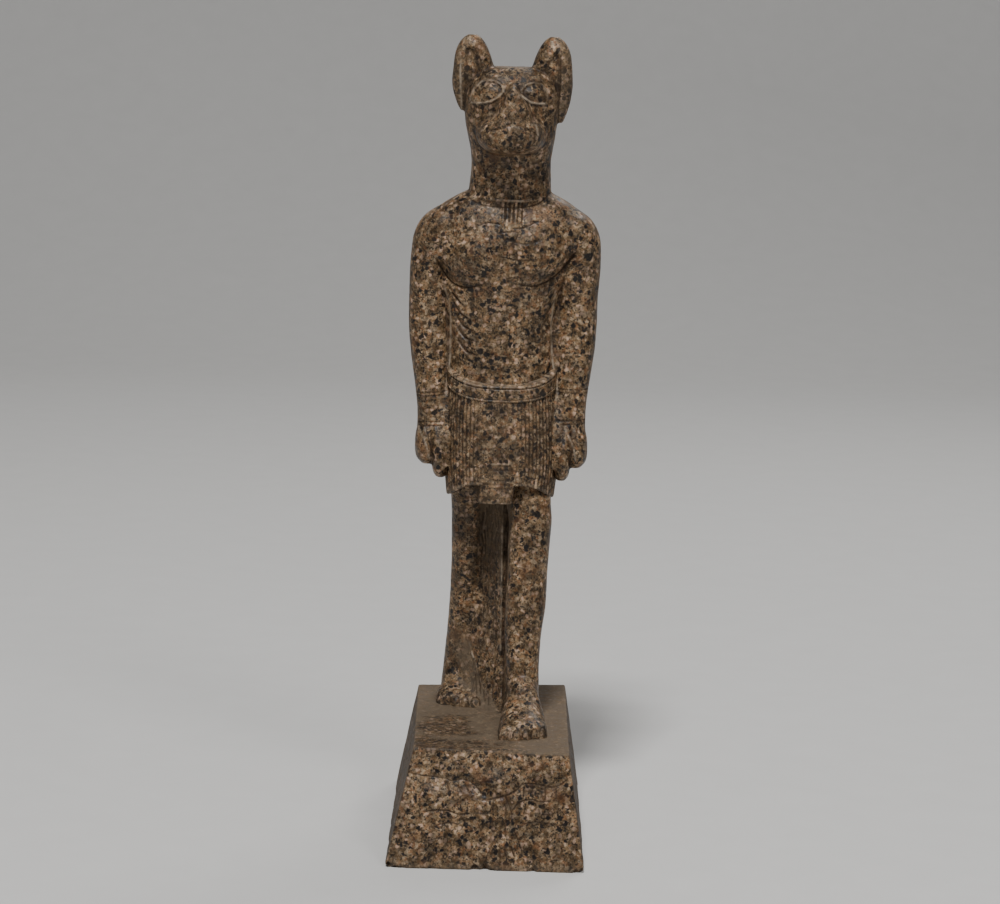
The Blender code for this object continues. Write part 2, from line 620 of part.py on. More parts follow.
def carved_figure():
    """Flesh, ears, hands, feet, web and pillar in one rounded surface, with the face and chest cut in."""
    solids = [level_loft("torso", TORSO), level_loft("head", HEAD, squareness=2.5),
              upright_loft("muzzle", MUZZLE), upright_loft("snout", SNOUT, taper=0.25),
              upright_loft("nose", NOSE, squareness=2.0, taper=0.8),
              level_loft("back_leg", BACK_LEG), level_loft("front_leg", FRONT_LEG),
              upright_loft("front_foot", FRONT_FOOT), upright_loft("back_foot", BACK_FOOT)]
    for side in (-1, 1):
        solids += [level_loft("shoulder", SHOULDER, side), level_loft("arm", ARM, side),
                   level_loft("arm_web", ARM_WEB, side, squareness=3), level_loft("thumb", THUMB, side),
                   level_loft("hand_edge", HAND_EDGE, side)]
    solids += [level_loft("ear", ear_rows(LEFT_EAR_LIFT), -1), level_loft("ear", ear_rows(0), 1)]
    solids += toe_lofts("front", 15.2, -43.5, 1)
    solids += toe_lofts("back", -17.8, 20.0, -1)
    solids += web_and_pillar()
    figure = joined("figure", solids)
    modified(figure, "REMESH", mode="VOXEL", voxel_size=CARVING_GRID)
    modified(figure, "SMOOTH", factor=0.5, iterations=4)
    soften(figure)
    carve_front(figure, body_relief)
    modified(figure, "DECIMATE", ratio=FIGURE_TRIANGLES / triangle_count(figure))
    return figure


def belt_height(along):
    """Height of the belt's lower edge where the ring points this far forward (1) or back (-1)."""
    return BELT_SIDE - BELT_DIP * np.clip(along, 0, 1) ** 1.5 + BELT_BACK_RISE * np.clip(-along, 0, 1) ** 1.5


def kilt_angles():
    """Angles of the kilt's columns, evenly spaced in front: two for each pleat, and fewer behind."""
    _, half_width, front, middle, _ = KILT[1]
    fine = np.linspace(0, np.pi, 400)
    across, along = rounded(fine, KILT_SQUARENESS)
    steps = np.hypot(np.diff(across) * half_width, np.diff(along) * (middle - front)) * UNIT
    length = np.concatenate(((0,), np.cumsum(steps)))
    pleats = max(4, round(length[-1] / PLEAT_WIDTH))
    front_angles = np.interp(np.linspace(0, length[-1], 2 * pleats + 1), length, fine)
    back_angles = np.linspace(np.pi, 2 * np.pi, BACK_COLUMNS + 1)[1:-1]
    return np.concatenate((front_angles, back_angles)), len(front_angles)


def kilt_solid():
    """The pleated kilt, its hem drawn up on both sides of the apron."""
    angles, front_columns = kilt_angles()
    across, along = rounded(angles, KILT_SQUARENESS)
    ridge = np.zeros(len(angles))
    ridge[:front_columns] = np.where(np.arange(front_columns) % 2, PLEAT_DEPTH, 0)
    rings = []
    for number, (z, half_width, front, middle, back) in enumerate(KILT):
        depth = np.where(along > 0, middle - front, back - middle)
        x = across * half_width * UNIT + np.cos(angles) * ridge
        y = (middle - along * depth) * UNIT - np.sin(angles) * ridge
        heights = np.full(len(angles), float(z))
        if number == 0:
            heights = belt_height(along) + BELT_HEIGHT / UNIT / 2
        if number == len(KILT) - 1:
            centre = np.clip((1 - np.abs(across)) / (1 - HEM_FLAT), 0, 1)
            heights = z + np.where(along > 0, HEM_RISE * centre * (2 - centre), 0)
        rings.append(np.column_stack((x, y, heights * UNIT)))
    hem = rings[-1]
    middle = np.array((0, KILT[-1][3] * UNIT, 0))
    inner = middle + (hem - middle) * (0.9, 0.9, 1)
    rings.append(inner)
    lid = middle + (hem - middle) * (0.3, 0.3, 1)
    lid[:, 2] = KILT_LID * UNIT
    rings.append(lid)
    return closed_loft("kilt", rings)


def belt_solid():
    """The belt: a band with a raised border along its upper edge."""
    angles = np.arange(40) * np.pi / 20
    across, along = rounded(angles, KILT_SQUARENESS)
    low = belt_height(along) * UNIT
    _, half_width, front, middle, back = KILT[0]
    depth = np.where(along > 0, middle - front, back - middle)
    rings = []
    for share, proud in BELT_PROFILE:
        offset = BELT_PROUD * proud
        x = across * half_width * UNIT + np.cos(angles) * offset
        y = (middle - along * depth) * UNIT - np.sin(angles) * offset
        rings.append(np.column_stack((x, y, low + share * BELT_HEIGHT)))
    return closed_loft("belt", rings)


def apron_solid():
    """The kilt's hanging middle panel, with level ridges across it."""
    table = np.array(APRON, dtype=float)
    shares = np.linspace(0, 1, 4 * APRON_RIDGES + 1)
    places = np.interp(shares, (0, 0.5, 1), (0, 1, 2))
    rings = []
    for share, place in zip(shares, places):
        z, x, half_width, front = [np.interp(place, (0, 1, 2), column) for column in table.T]
        ridge = RIDGE_DEPTH * 0.5 * (1 - np.cos(share * APRON_RIDGES * 2 * np.pi))
        front = front - APRON_PROUD / UNIT - ridge
        rings.append(level_ring(z, x, half_width, front, front + 4, 20, sides=20, squareness=4))
    return closed_loft("apron", rings)


def plinth_corners():
    """The plinth's eight corners: four on the ground and four on top."""
    half_width = PLINTH_WIDTH / 2
    half_depth = PLINTH_DEPTH / 2
    insets = (FRONT_LEFT_INSET, FRONT_RIGHT_INSET, BACK_RIGHT_INSET, BACK_LEFT_INSET)
    foot = []
    top = []
    for (sx, sy), (inset_x, inset_y) in zip(((-1, -1), (1, -1), (1, 1), (-1, 1)), insets):
        foot.append((sx * half_width, sy * half_depth, 0))
        top.append((sx * (half_width - inset_x), sy * (half_depth - inset_y), PLINTH_HEIGHT))
    return foot, top


def wing_relief(x, z):
    """Rise of a bird with spread wings, as a share of the relief's full height."""
    rise = np.zeros(len(x))
    for side, span in WING_SPANS:
        share = side * (x - BIRD_X) / span
        fade = np.clip((1 - share) / WING_FADE, 0, 1)
        for lower_edge in WING_ROWS:
            outline = [(u * span, height) for u, height in WING_TOP + lower_edge]
            below = step(np.interp(share, *np.array(WING_TOP).T) - z, 0, WING_SLOPE)
            rise += fade * below * area_relief(outline, RELIEF_EDGE, 1 / len(WING_ROWS), share * span, z)
    body_x = x - BIRD_X
    rise = np.maximum(rise, area_relief(BIRD_BODY, RELIEF_EDGE, 1.0, body_x, z))
    rise = np.maximum(rise, area_relief(BIRD_TAIL, RELIEF_EDGE, 0.8, body_x, z))
    return np.maximum(rise, swell_relief(DISC_CENTRE, DISC_WIDTH, DISC_HEIGHT, 1.2, x, z))


def plinth_face(left, right, share_x, share_z):
    """Points of a plinth face between two of its corners, at shares of its width and height."""
    foot, top = (np.array(corners) for corners in plinth_corners())
    left_edge = foot[left] + np.outer(share_z, top[left] - foot[left])
    right_edge = foot[right] + np.outer(share_z, top[right] - foot[right])
    return left_edge + (right_edge - left_edge) * share_x[:, None]


def plinth_solid():
    """The plinth, with the bird raised on its front."""
    columns = round(PLINTH_WIDTH / PANEL_GRID)
    rows = round(PLINTH_HEIGHT / PANEL_GRID)
    share_x, share_z = np.meshgrid(np.arange(columns + 1) / columns, np.arange(rows + 1) / rows)
    front = plinth_face(0, 1, share_x.ravel(), share_z.ravel())
    back = plinth_face(3, 2, share_x.ravel(), share_z.ravel())
    front[:, 1] -= RELIEF_HEIGHT * wing_relief(front[:, 0], front[:, 2])
    bm = bmesh.new()
    grid = [bm.verts.new(point) for point in front]
    wide = columns + 1
    for row in range(rows):
        for column in range(columns):
            corner = row * wide + column
            bm.faces.new([grid[corner + offset] for offset in (0, 1, wide + 1, wide)])
    last = rows * wide
    border = list(range(columns)) + list(range(columns, last + columns, wide))
    border += list(range(last + columns, last, -1)) + list(range(last, 0, -wide))
    behind = [bm.verts.new(back[i]) for i in border]
    middle = bm.verts.new(back.mean(axis=0))
    for i, place in enumerate(border):
        j = (i + 1) % len(border)
        bm.faces.new((grid[place], grid[border[j]], behind[j], behind[i]))
        bm.faces.new((behind[i], behind[j], middle))
    bmesh.ops.recalc_face_normals(bm, faces=bm.faces)
    mesh = bpy.data.meshes.new("plinth")
    bm.to_mesh(mesh)
    bm.free()
    solid = bpy.data.objects.new("plinth", mesh)
    workshop.objects.link(solid)
    return modified(solid, "DECIMATE", ratio=PLINTH_TRIANGLES / triangle_count(solid))


def cleaned(solid):
    """Drop the slivers that a join leaves, and keep plain triangles."""
    bm = bmesh.new()
    bm.from_mesh(solid.data)
    bmesh.ops.dissolve_degenerate(bm, dist=SLIVER, edges=bm.edges)
    bmesh.ops.triangulate(bm, faces=bm.faces)
    bm.to_mesh(solid.data)
    bm.free()
    return solid


def united(base, solids):
    """One solid of the base and the others."""
    for solid in solids:
        modified(base, "BOOLEAN", operation="UNION", solver="EXACT", object=solid)
        cleaned(base)
        bpy.data.objects.remove(solid)
    return base


def granite():
    """Polished granite: warm beige with dark grains."""
    material = bpy.data.materials.new("granite")
    material.use_nodes = True
    shader = material.node_tree.nodes["Principled BSDF"]
    shader.inputs["Base Color"].default_value = (0.36, 0.25, 0.16, 1)
    shader.inputs["Roughness"].default_value = 0.35
    shader.inputs["Metallic"].default_value = 0.0
    return material


for old in list(bpy.data.objects):
    bpy.data.objects.remove(old)
workshop = bpy.data.collections.new("workshop")
bpy.context.scene.collection.children.link(workshop)
collection = bpy.data.collections.new("bastet_statue")
bpy.context.scene.collection.children.link(collection)

statue = carved_figure()
united(statue, [kilt_solid(), belt_solid(), apron_solid()])
lean_figure(statue)
statue.data.transform(Matrix.Translation((FIGURE_X, 0, PLINTH_HEIGHT)))
united(statue, [plinth_solid()])
statue.name = "bastet_statue"
statue.data.materials.clear()
statue.data.materials.append(granite())
collection.objects.link(statue)
workshop.objects.unlink(statue)
bpy.data.collections.remove(workshop)
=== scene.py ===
from math import radians

import bmesh
import bpy
import numpy as np
from mathutils import Matrix, Vector


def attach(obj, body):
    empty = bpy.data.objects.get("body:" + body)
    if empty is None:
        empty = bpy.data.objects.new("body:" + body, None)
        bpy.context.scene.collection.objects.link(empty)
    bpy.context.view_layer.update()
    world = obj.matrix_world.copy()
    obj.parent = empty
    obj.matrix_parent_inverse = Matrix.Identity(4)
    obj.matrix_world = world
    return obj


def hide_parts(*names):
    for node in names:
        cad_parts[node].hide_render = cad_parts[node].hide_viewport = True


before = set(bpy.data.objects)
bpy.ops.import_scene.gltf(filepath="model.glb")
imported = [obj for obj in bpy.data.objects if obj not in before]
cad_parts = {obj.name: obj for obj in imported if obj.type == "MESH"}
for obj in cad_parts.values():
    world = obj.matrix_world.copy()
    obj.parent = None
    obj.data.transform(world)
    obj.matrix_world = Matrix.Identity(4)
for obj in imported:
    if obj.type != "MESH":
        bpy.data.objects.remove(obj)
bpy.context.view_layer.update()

# Plinth, in metres
PLINTH_WIDTH = 0.0972
PLINTH_DEPTH = 0.156
PLINTH_HEIGHT = 0.0560
# How far each top corner stands in from the corner below it: left or right, and front or back
FRONT_LEFT_INSET = (0.0124, 0.0180)
FRONT_RIGHT_INSET = (0.0090, 0.0125)
BACK_RIGHT_INSET = (0.0088, 0.0020)
BACK_LEFT_INSET = (0.0106, 0.0110)

# Figure, in metres: from the soles to the ear tips, and its axis from the plinth's middle
FIGURE_HEIGHT = 0.3425
FIGURE_X = 0.0019
PILLAR_WIDTH = 0.030
PILLAR_BACK = 0.0645
PILLAR_HEIGHT = 0.252
SUNK = 0.006

# The hand-carved figure leans a little: sideways shift in units at each height over the soles
LEAN = ((0, 0.0), (125, 0.3), (160, -0.4), (195, -0.9), (215, -0.9), (240, 0.0), (265, 0.5), (342, 0.4))

# Carving, in metres
PLEAT_WIDTH = 0.0020
PLEAT_DEPTH = 0.0007
BELT_HEIGHT = 0.0088
BELT_PROUD = 0.0016
APRON_PROUD = 0.0016
RELIEF_HEIGHT = 0.0011

# Bird with spread wings on the plinth's front, in metres from its middle and from the ground
BIRD_X = 0.0065
WING_SPANS = ((-1, 0.0415), (1, 0.0320))
WING_TOP = ((0.08, 0.0345), (0.18, 0.0385), (0.34, 0.0408), (0.62, 0.0410), (1.0, 0.0430))
WING_ROWS = (
    ((1.0, 0.0225), (0.70, 0.0220), (0.36, 0.0205), (0.10, 0.0190)),
    ((1.0, 0.0275), (0.66, 0.0272), (0.34, 0.0260), (0.10, 0.0230)),
    ((1.0, 0.0345), (0.62, 0.0342), (0.34, 0.0335), (0.10, 0.0275)),
)
WING_FADE = 0.12
BIRD_BODY = ((-0.0030, 0.0350), (0.0030, 0.0350), (0.0036, 0.0280), (0.0028, 0.0180), (-0.0028, 0.0180),
             (-0.0036, 0.0280))
BIRD_TAIL = ((-0.0026, 0.0190), (0.0026, 0.0190), (0.0078, 0.0045), (-0.0072, 0.0045))
DISC_CENTRE = (0.0040, 0.0410)
DISC_WIDTH = 0.0105
DISC_HEIGHT = 0.0091
# Widths of the slopes at the feathers' upper edge, round each row of feathers, and round body and tail
WING_SLOPE = 0.008
ROW_EDGE = 0.0018
BODY_EDGE = 0.0022

# Fineness of the surface, in metres, and how many triangles each large piece keeps
STONE_GRID = 0.00055
FIGURE_TRIANGLES = 188000
PLINTH_TRIANGLES = 120000
# Steps between the rows of a table: for bodies and for lines
LOFT_STEPS = 8
CURVE_STEPS = 5
# Rounds of smoothing after the bodies are made one surface, where forms are blended, and on the apron
FIGURE_SMOOTHING = 7
PLINTH_SMOOTHING = 5
BLEND_ROUNDS = 45
APRON_ROUNDS = 8
BLEND_SHARE = 0.6
# Hollows and edges: rounds of smoothing that they are measured against, and their depth in metres
WEATHER_ROUNDS = 10
HOLLOW_DEPTH = 0.00016

# Unevenness that hand work leaves: size and height of each wave in metres, and its seed
FIGURE_WAVES = ((0.011, 0.00016, 1), (0.0042, 0.00007, 2))
KILT_WAVES = ((0.009, 0.00012, 3),)
BELT_WAVES = ((0.007, 0.00009, 4), (0.0025, 0.00005, 5))
APRON_WAVES = ((0.006, 0.0001, 6),)
PLINTH_WAVES = ((0.013, 0.00022, 24), (0.005, 0.00009, 25))
# How thick dust lies on the small pieces
KILT_DUST = 0.08
BELT_DUST = 0.10
APRON_DUST = 0.16
# Width and depth of cut lines, in metres
FIGURE_CUT = (0.0012, 0.00026)
BELT_CUT = (0.0010, 0.00024)
BIRD_CUT = (0.0013, 0.00026)
# Strokes of a point chisel on the web between the legs, in metres and radians
TOOL_MARKS = {
    "Strokes": 260, "Low": (-0.012, 0, 0.004), "High": (0.008, 0, 0.112), "Length": 0.008, "Slant": 0.20,
    "Width": 0.0011, "Depth": 0.00028, "Seed": 7,
}

# One unit is a millimetre on a figure of 342.5 mm: the tables below are shares of the figure's height
UNIT = FIGURE_HEIGHT / 342.5

# Level sections: height over the soles, middle in x, half width, then front, middle and back in y
TORSO = (
    (116, 0, 22.0, 16, 33, 50), (150, -0.2, 26.0, 13.5, 33, 51), (165, -0.4, 27.4, 12.5, 33, 50.5),
    (177, -0.6, 27.4, 13.5, 33, 50), (187, -0.8, 27.0, 15, 33, 49), (200, -1.0, 27.6, 15, 33, 49),
    (211, -1.0, 29.4, 14, 34, 50), (221, -0.8, 32.2, 12, 34, 51), (231, -0.4, 35.6, 10.5, 34, 52),
    (241, 0, 38.0, 11, 34, 52), (249, 0, 38.6, 13, 34, 51), (253, 0, 37.2, 14.5, 34, 50.5),
    (256.5, 0, 34.6, 16, 34, 50), (259.5, 0, 31.0, 17.2, 34, 49.5), (262, 0, 26.6, 18.2, 34, 49.5),
    (264.5, 0, 21.6, 19, 34, 50),
)
HEAD = (
    (256, 0.2, 21.2, 17.0, 34, 51), (264, 0.3, 20.8, 16.5, 34, 52), (271, 0.4, 20.3, 16.0, 34, 53),
    (279, 0.4, 19.9, 15.0, 34, 54), (286, 0.4, 20.6, 12.5, 33, 55), (293, 0.3, 22.0, 9.5, 32, 56),
    (301, 0, 23.2, 8.5, 31, 56), (311, 0, 23.8, 8.5, 31, 55), (318, 0, 22.8, 10.5, 31, 53),
    (323.5, 0, 20.0, 14.5, 31, 50), (327, 0, 14.5, 20.0, 31, 44),
)
ARM = (
    (258.6, 26.5, 4.2, 28, 34, 40), (256.4, 28.5, 6.9, 25.5, 34, 42.5), (254.2, 30.6, 8.4, 24.4, 34, 43.6),
    (252, 32.6, 9.3, 23.8, 34, 44.4), (248.2, 35.0, 9.8, 23.2, 34, 45), (244, 36.8, 9.9, 22.8, 34, 45.3),
    (239, 38.2, 9.5, 22.5, 34, 45.5), (226, 38.7, 9.5, 23.0, 34.5, 46), (212, 37.8, 10.1, 24.0, 35, 47),
    (199, 36.9, 10.9, 24.5, 35.5, 47.5), (187, 36.3, 10.8, 23.5, 34.5, 46.5), (175, 35.7, 9.7, 22.0, 33, 44),
    (163, 35.3, 8.3, 20.5, 30.5, 41), (150, 35.4, 7.3, 19.5, 28.5, 38), (141, 35.6, 7.4, 19.0, 27, 37),
)
SHOULDER = (
    (256.5, 28.0, 5.0, 25, 34, 43), (252.5, 30.5, 9.6, 20.8, 34, 46), (246, 33.0, 12.0, 18.8, 34, 47),
    (238, 33.8, 12.4, 19.0, 34, 47), (230, 35.4, 11.2, 20.8, 34.5, 46.5), (220, 36.8, 10.2, 22.6, 35, 46),
    (210, 37.4, 9.4, 24.6, 35, 46),
)
# Stone left between each arm and the body
ARM_WEB = (
    (238, 32.0, 6.0, 29, 36, 44), (200, 28.0, 7.0, 28, 37, 45), (168, 29.0, 6.4, 24, 33, 42),
    (150, 29.0, 5.8, 18.5, 29, 40), (138, 28.6, 5.4, 15.0, 27, 38), (126, 28.0, 4.4, 14.0, 26, 36),
)
HAND_EDGE = (
    (149, 36.4, 4.6, 20.5, 28, 35), (143, 38.0, 5.2, 17.5, 27, 36), (136, 38.4, 5.5, 15.5, 27, 37),
    (130, 38.2, 5.2, 16, 27, 36), (126.5, 37.4, 3.4, 19, 27, 33),
)
THUMB = (
    (150, 34.0, 3.0, 19.5, 27, 34), (143, 32.6, 4.2, 16.0, 26, 35), (135, 31.2, 4.5, 13.0, 24, 35),
    (128, 30.8, 4.5, 12.5, 23, 33), (123, 30.6, 4.0, 14.0, 22, 30), (120, 30.6, 2.4, 17.5, 22, 26),
)
BACK_LEG = (
    (124, -14.0, 12.5, 24, 37, 50), (108, -14.6, 10.6, 26, 38, 51), (99, -15.0, 9.6, 28, 39, 51),
    (85, -15.0, 9.2, 29.5, 40, 51), (74, -15.1, 8.8, 32, 41.5, 52), (58, -15.4, 8.7, 34, 43, 54),
    (40, -17.6, 7.4, 37, 45, 54), (28, -19.5, 6.3, 39, 47, 55), (17, -20.1, 6.5, 40, 49, 58),
    (7, -20.1, 7.2, 40, 50, 62), (-6, -20.0, 7.4, 41, 50, 62),
)
FRONT_LEG = (
    (124, 13.5, 11.5, 11, 23, 42), (108, 14.8, 11.2, 6.5, 19, 36), (99, 15.8, 10.8, 4.5, 16.5, 31),
    (85, 15.4, 10.5, 2.0, 13, 26), (75, 15.2, 10.1, 1.5, 11.5, 24), (60, 14.8, 10.3, -0.5, 9.5, 23),
    (41, 13.9, 9.2, -3.0, 6, 18), (26, 14.3, 8.2, -5.0, 3, 12.5), (14, 14.6, 8.4, -6.5, 3, 12),
    (-6, 14.6, 8.6, -7.0, 3, 12),
)
# Ear: a leaf whose tip leans out
EAR = (
    (300, 24.2, 1.4, 26.5, 29, 31.5), (305, 24.4, 3.2, 24.0, 29, 33.0), (311, 23.6, 5.6, 22.0, 29, 34.5),
    (318, 22.0, 8.2, 20.5, 29, 35.5), (325, 19.6, 10.2, 19.5, 28.5, 35.5), (330, 19.8, 9.5, 19.5, 28, 35.0),
    (334, 20.2, 8.5, 20.0, 27.5, 34.0), (338, 20.4, 6.8, 21.0, 27, 32.5), (341, 20.4, 4.6, 22.5, 26.5, 30.5),
    (342.7, 20.4, 2.2, 24.5, 26.5, 28.5),
)
# The left ear's lower end is cut higher than the right one's
EAR_MIDDLE = 325
LEFT_EAR_LIFT = 5.0
# Upright sections: place in y, middle in x, middle height, half width, then rise and drop
MUZZLE = (
    (14, 0, 295, 18.0, 9.0, 10.6), (8, 0, 295, 16.6, 9.0, 10.4), (4, 0, 295, 15.4, 8.8, 10.0),
    (1, 0, 295, 14.2, 8.6, 9.4), (-1.5, 0, 295, 12.8, 8.0, 8.4), (-3.4, 0, 294.8, 10.6, 6.8, 6.8),
    (-4.6, 0, 294.4, 7.6, 4.6, 4.8), (-5.2, 0, 294, 4.0, 2.4, 2.6),
)
# The upright part of the snout between the nose and the mouth
SNOUT = (
    (14, 0.9, 304, 9.4, 10.5, 9), (4, 0.9, 304, 8.6, 10.2, 9), (0.6, 0.9, 304, 7.9, 9.6, 9),
    (-1.2, 0.9, 303.6, 7.2, 8.8, 8), (-2.4, 0.9, 303, 6.4, 7.4, 7), (-3.5, 0.9, 302, 4.6, 5.0, 6),
)
NOSE = (
    (16, 0.4, 314.4, 4.3, 6.2, 2.2), (8, 0.4, 314.4, 4.2, 5.8, 2.2), (3, 0.4, 314.4, 4.1, 5.0, 2.1),
    (0.6, 0.4, 314.3, 4.0, 4.2, 2.0), (-1.5, 0.4, 314.1, 3.8, 3.0, 1.8), (-2.9, 0.4, 313.9, 3.4, 1.8, 1.4),
    (-3.5, 0.4, 313.7, 2.4, 0.9, 0.9),
)
FRONT_FOOT = (
    (11, 14.6, -2, 5.5, 11, 5), (7, 14.6, -2, 8.0, 20, 5), (0, 14.6, -2, 8.8, 29, 5),
    (-8, 14.8, -2, 10.0, 23.5, 5), (-16, 14.9, -2, 11.6, 17.5, 5), (-26, 15.1, -2, 12.4, 12.5, 5),
    (-35, 15.2, -2, 12.1, 9.4, 5), (-38.5, 14.2, -2, 10.6, 7.6, 5),
)
BACK_FOOT = (
    (63, -20.0, -2, 6.0, 12, 5), (56, -20.2, -2, 7.4, 20, 5), (48, -20.2, -2, 7.6, 25, 5),
    (42, -19.4, -2, 8.6, 20, 5), (36, -18.4, -2, 10.0, 14.5, 5), (30, -17.8, -2, 11.2, 10.5, 5),
    (27, -17.7, -2, 11.1, 9.2, 5), (24.5, -17.0, -2, 10.0, 7.6, 5),
)
# Toes from the big toe out: across the foot, half width, and how far the tip lies behind the big toe's
TOES = ((-8.6, 3.8, 0), (-3.2, 2.8, 0.6), (1.3, 2.6, 2.0), (5.6, 2.5, 4.2), (9.6, 2.4, 7.2))
TOE_LENGTH = 11
TOE_HEIGHT = 6.2
# Each foot: its middle in x, where its big toe ends, and the side of its little toe
FEET = ((15.2, -43.5, 1), (-17.8, 20.0, -1))
# Plan of the web between the legs at eight heights, from its left: it runs on from the back leg,
# has a thin upright edge by the front leg, and flares out over the plinth beside the back foot
WEB = (
    (122, ((-16, 36), (-8, 32), (1.6, 21.5), (2.7, 22), (4.8, 23), (7, 18), (18, 20), (18, 56), (-14, 56))),
    (95, ((-16, 36), (-8, 32), (1.8, 19), (2.9, 19.5), (4.8, 20.5), (6.8, 15), (18, 18),
          (18, 56), (-14, 56))),
    (60, ((-16.5, 38), (-8, 35.5), (2, 21), (3.1, 22), (4.8, 22.8), (6.5, 15), (18, 17),
          (18, 56), (-14, 56))),
    (36, ((-19, 40), (-13.9, 37), (2.3, 23), (3.3, 24), (4.8, 24.8), (6.2, 14), (17, 12),
          (18, 56), (-14, 56))),
    (22, ((-19, 39), (-10.6, 33), (2.6, 22), (3.5, 22.5), (4.8, 23.2), (6.2, 10), (16, 9),
          (16, 56), (-14, 56))),
    (10, ((-18, 35), (-5.9, 26), (3.4, 18), (4.2, 18), (4.8, 17.5), (6, 5), (16, 5), (16, 56), (-14, 56))),
    (3, ((-17, 28), (1.6, 14), (3.6, 12), (4.4, 11), (5.0, 10), (6, 3), (16, 3), (16, 56), (-14, 56))),
    (-6, ((-17, 22), (3.0, 6), (4.2, 5.5), (4.8, 5), (5.4, 4), (6, 2), (16, 3), (16, 56), (-14, 56))),
)
# The flare's edge, seen from the front
FLARE = ((-15.9, 35.6), (-10.6, 22.3), (-5.9, 9.8), (1.6, 3.6))
PILLAR_FRONT = 40

# Kilt: height at the sides, half width, then front, middle and back
KILT = (
    (169, 27.2, 11.6, 33, 51.5), (150, 28.4, 8.4, 33, 52.5), (130, 28.8, 4.6, 33, 53.0),
    (110.5, 27.2, 2.2, 33, 52.5),
)
KILT_STEPS = 22
KILT_SQUARENESS = 2.8
HEM_RISE = 9.0
HEM_FLAT = 0.42
# Rings that close the kilt from below: share of the hem's outline and drop in metres, then the lid's
# share and height
HEM_TURNS = ((0.985, 0.0003), (0.9, 0))
LID_SHARE = 0.3
KILT_LID = 124
BELT_SIDE = 169.2
BELT_DIP = 9.2
BELT_BACK_RISE = 6.0
COLUMNS_PER_PLEAT = 8
BACK_COLUMNS = 100
BELT_COLUMNS = 480
# The belt's section: share of its height, and how proud it stands
BELT_PROFILE = ((0, 0.2), (0.05, 0.85), (0.12, 0.95), (0.17, 0.7), (0.22, 0.85), (0.42, 0.9), (0.66, 0.85),
                (0.74, 0.8), (0.78, 0.55), (0.82, 0.7), (0.88, 0.85), (0.94, 0.7), (1, 0.1))
# Lines that end the belt's front
BELT_ENDS = (((-24.6, 168.0), (-24.0, 177.5)), ((-23.0, 167.6), (-22.4, 177.0)),
             ((23.6, 168.0), (22.8, 177.5)), ((25.2, 168.6), (24.4, 178.0)))
# Apron: height, middle in x, half width and front, then the heights of the lines cut across it
APRON = ((130.8, 0.0, 5.4, 4.9), (120.5, -0.9, 8.8, 3.2), (109.8, -2.8, 8.6, 1.6))
APRON_LINES = (129.2, 127.2, 122.0, 120.0, 118.0)
APRON_ROWS = 90

# Lines of the face and body, seen from the front: x and height over the soles
EYE_BALLS = ((-11.2, 316.0), (10.8, 315.9))
EYE_RIMS = (
    ((-4.4, 315.7), (-5.4, 318.6), (-9.0, 320.7), (-13.9, 320.7), (-17.3, 318.3), (-19.6, 314.9),
     (-20.9, 310.8)),
    ((4.4, 315.3), (5.7, 318.2), (8.4, 319.9), (11.6, 320.2), (14.8, 319.1), (17.0, 316.2), (18.2, 312.4)),
)
EYE_EDGES = (
    ((-5.9, 316.2), (-6.6, 318.4), (-9.4, 319.6), (-13.0, 319.2), (-15.4, 316.9), (-16.4, 313.1),
     (-12.5, 311.9), (-8.1, 312.8), (-5.9, 316.2)),
    ((5.4, 315.9), (7.1, 318.2), (10.0, 319.0), (13.0, 318.3), (15.2, 316.0), (15.8, 313.2), (12.5, 312.5),
     (8.4, 313.6), (5.4, 315.9)),
)
LOWER_LIDS = (
    ((-4.4, 315.7), (-6.3, 313.0), (-9.5, 311.1), (-13.9, 309.8), (-17.6, 309.3), (-21.0, 310.5)),
    ((4.4, 314.7), (6.6, 312.4), (9.5, 311.0), (13.2, 310.2), (18.6, 310.2)),
)
BROWS = (
    ((-3.6, 321.6), (-6.8, 323.8), (-10.7, 324.6), (-14.7, 323.3), (-18.4, 320.2), (-20.4, 316.6)),
    ((3.4, 321.0), (5.4, 323.2), (8.6, 324.1), (12.1, 323.5), (15.4, 321.6), (18.4, 318.4)),
)
MOUTH = ((-13.4, 296.0), (-9.1, 297.2), (-5.8, 297.8), (-2.2, 299.3), (1.1, 300.0), (4.7, 299.5),
         (7.7, 297.9), (10.7, 296.7), (13.2, 295.6))
CHEEK_RIDGE = ((6.8, 312.6), (10.4, 307.4), (12.6, 301.6), (13.6, 296.2))
CHEEK_HOLLOW = ((-12.2, 304.6), (-7.2, 304.8), (-6.2, 301.2), (-6.8, 298.6), (-11.3, 298.2), (-14.0, 300.6))
EAR_BOWLS = (
    ((-24.5, 336.0), (-21.5, 337.6), (-18.3, 335.4), (-15.9, 331.2), (-14.6, 325.7), (-12.8, 322.4),
     (-17.3, 319.0), (-21.4, 314.4), (-23.1, 309.2), (-24.3, 304.8), (-24.9, 318.0), (-25.1, 329.0)),
    ((22.0, 337.2), (18.7, 334.2), (15.4, 329.6), (13.0, 325.0), (16.0, 322.1), (19.8, 317.8), (22.6, 312.0),
     (24.0, 306.9), (24.6, 318.0), (24.6, 330.5)),
)
PECTORALS = (
    ((-10.0, 219.8), (-15.0, 217.9), (-20.5, 217.4), (-26.0, 219.2), (-30.6, 223.8), (-34.4, 230.4)),
    ((8.0, 219.8), (13.0, 219.0), (18.5, 220.0), (24.6, 223.6), (30.4, 229.4), (35.0, 236.8)),
)
COLLAR = ((-22.5, 265.4), (-16.0, 262.6), (-8.0, 261.4), (0.5, 261.2), (9.0, 261.4), (17.0, 262.6),
          (23.3, 265.4))
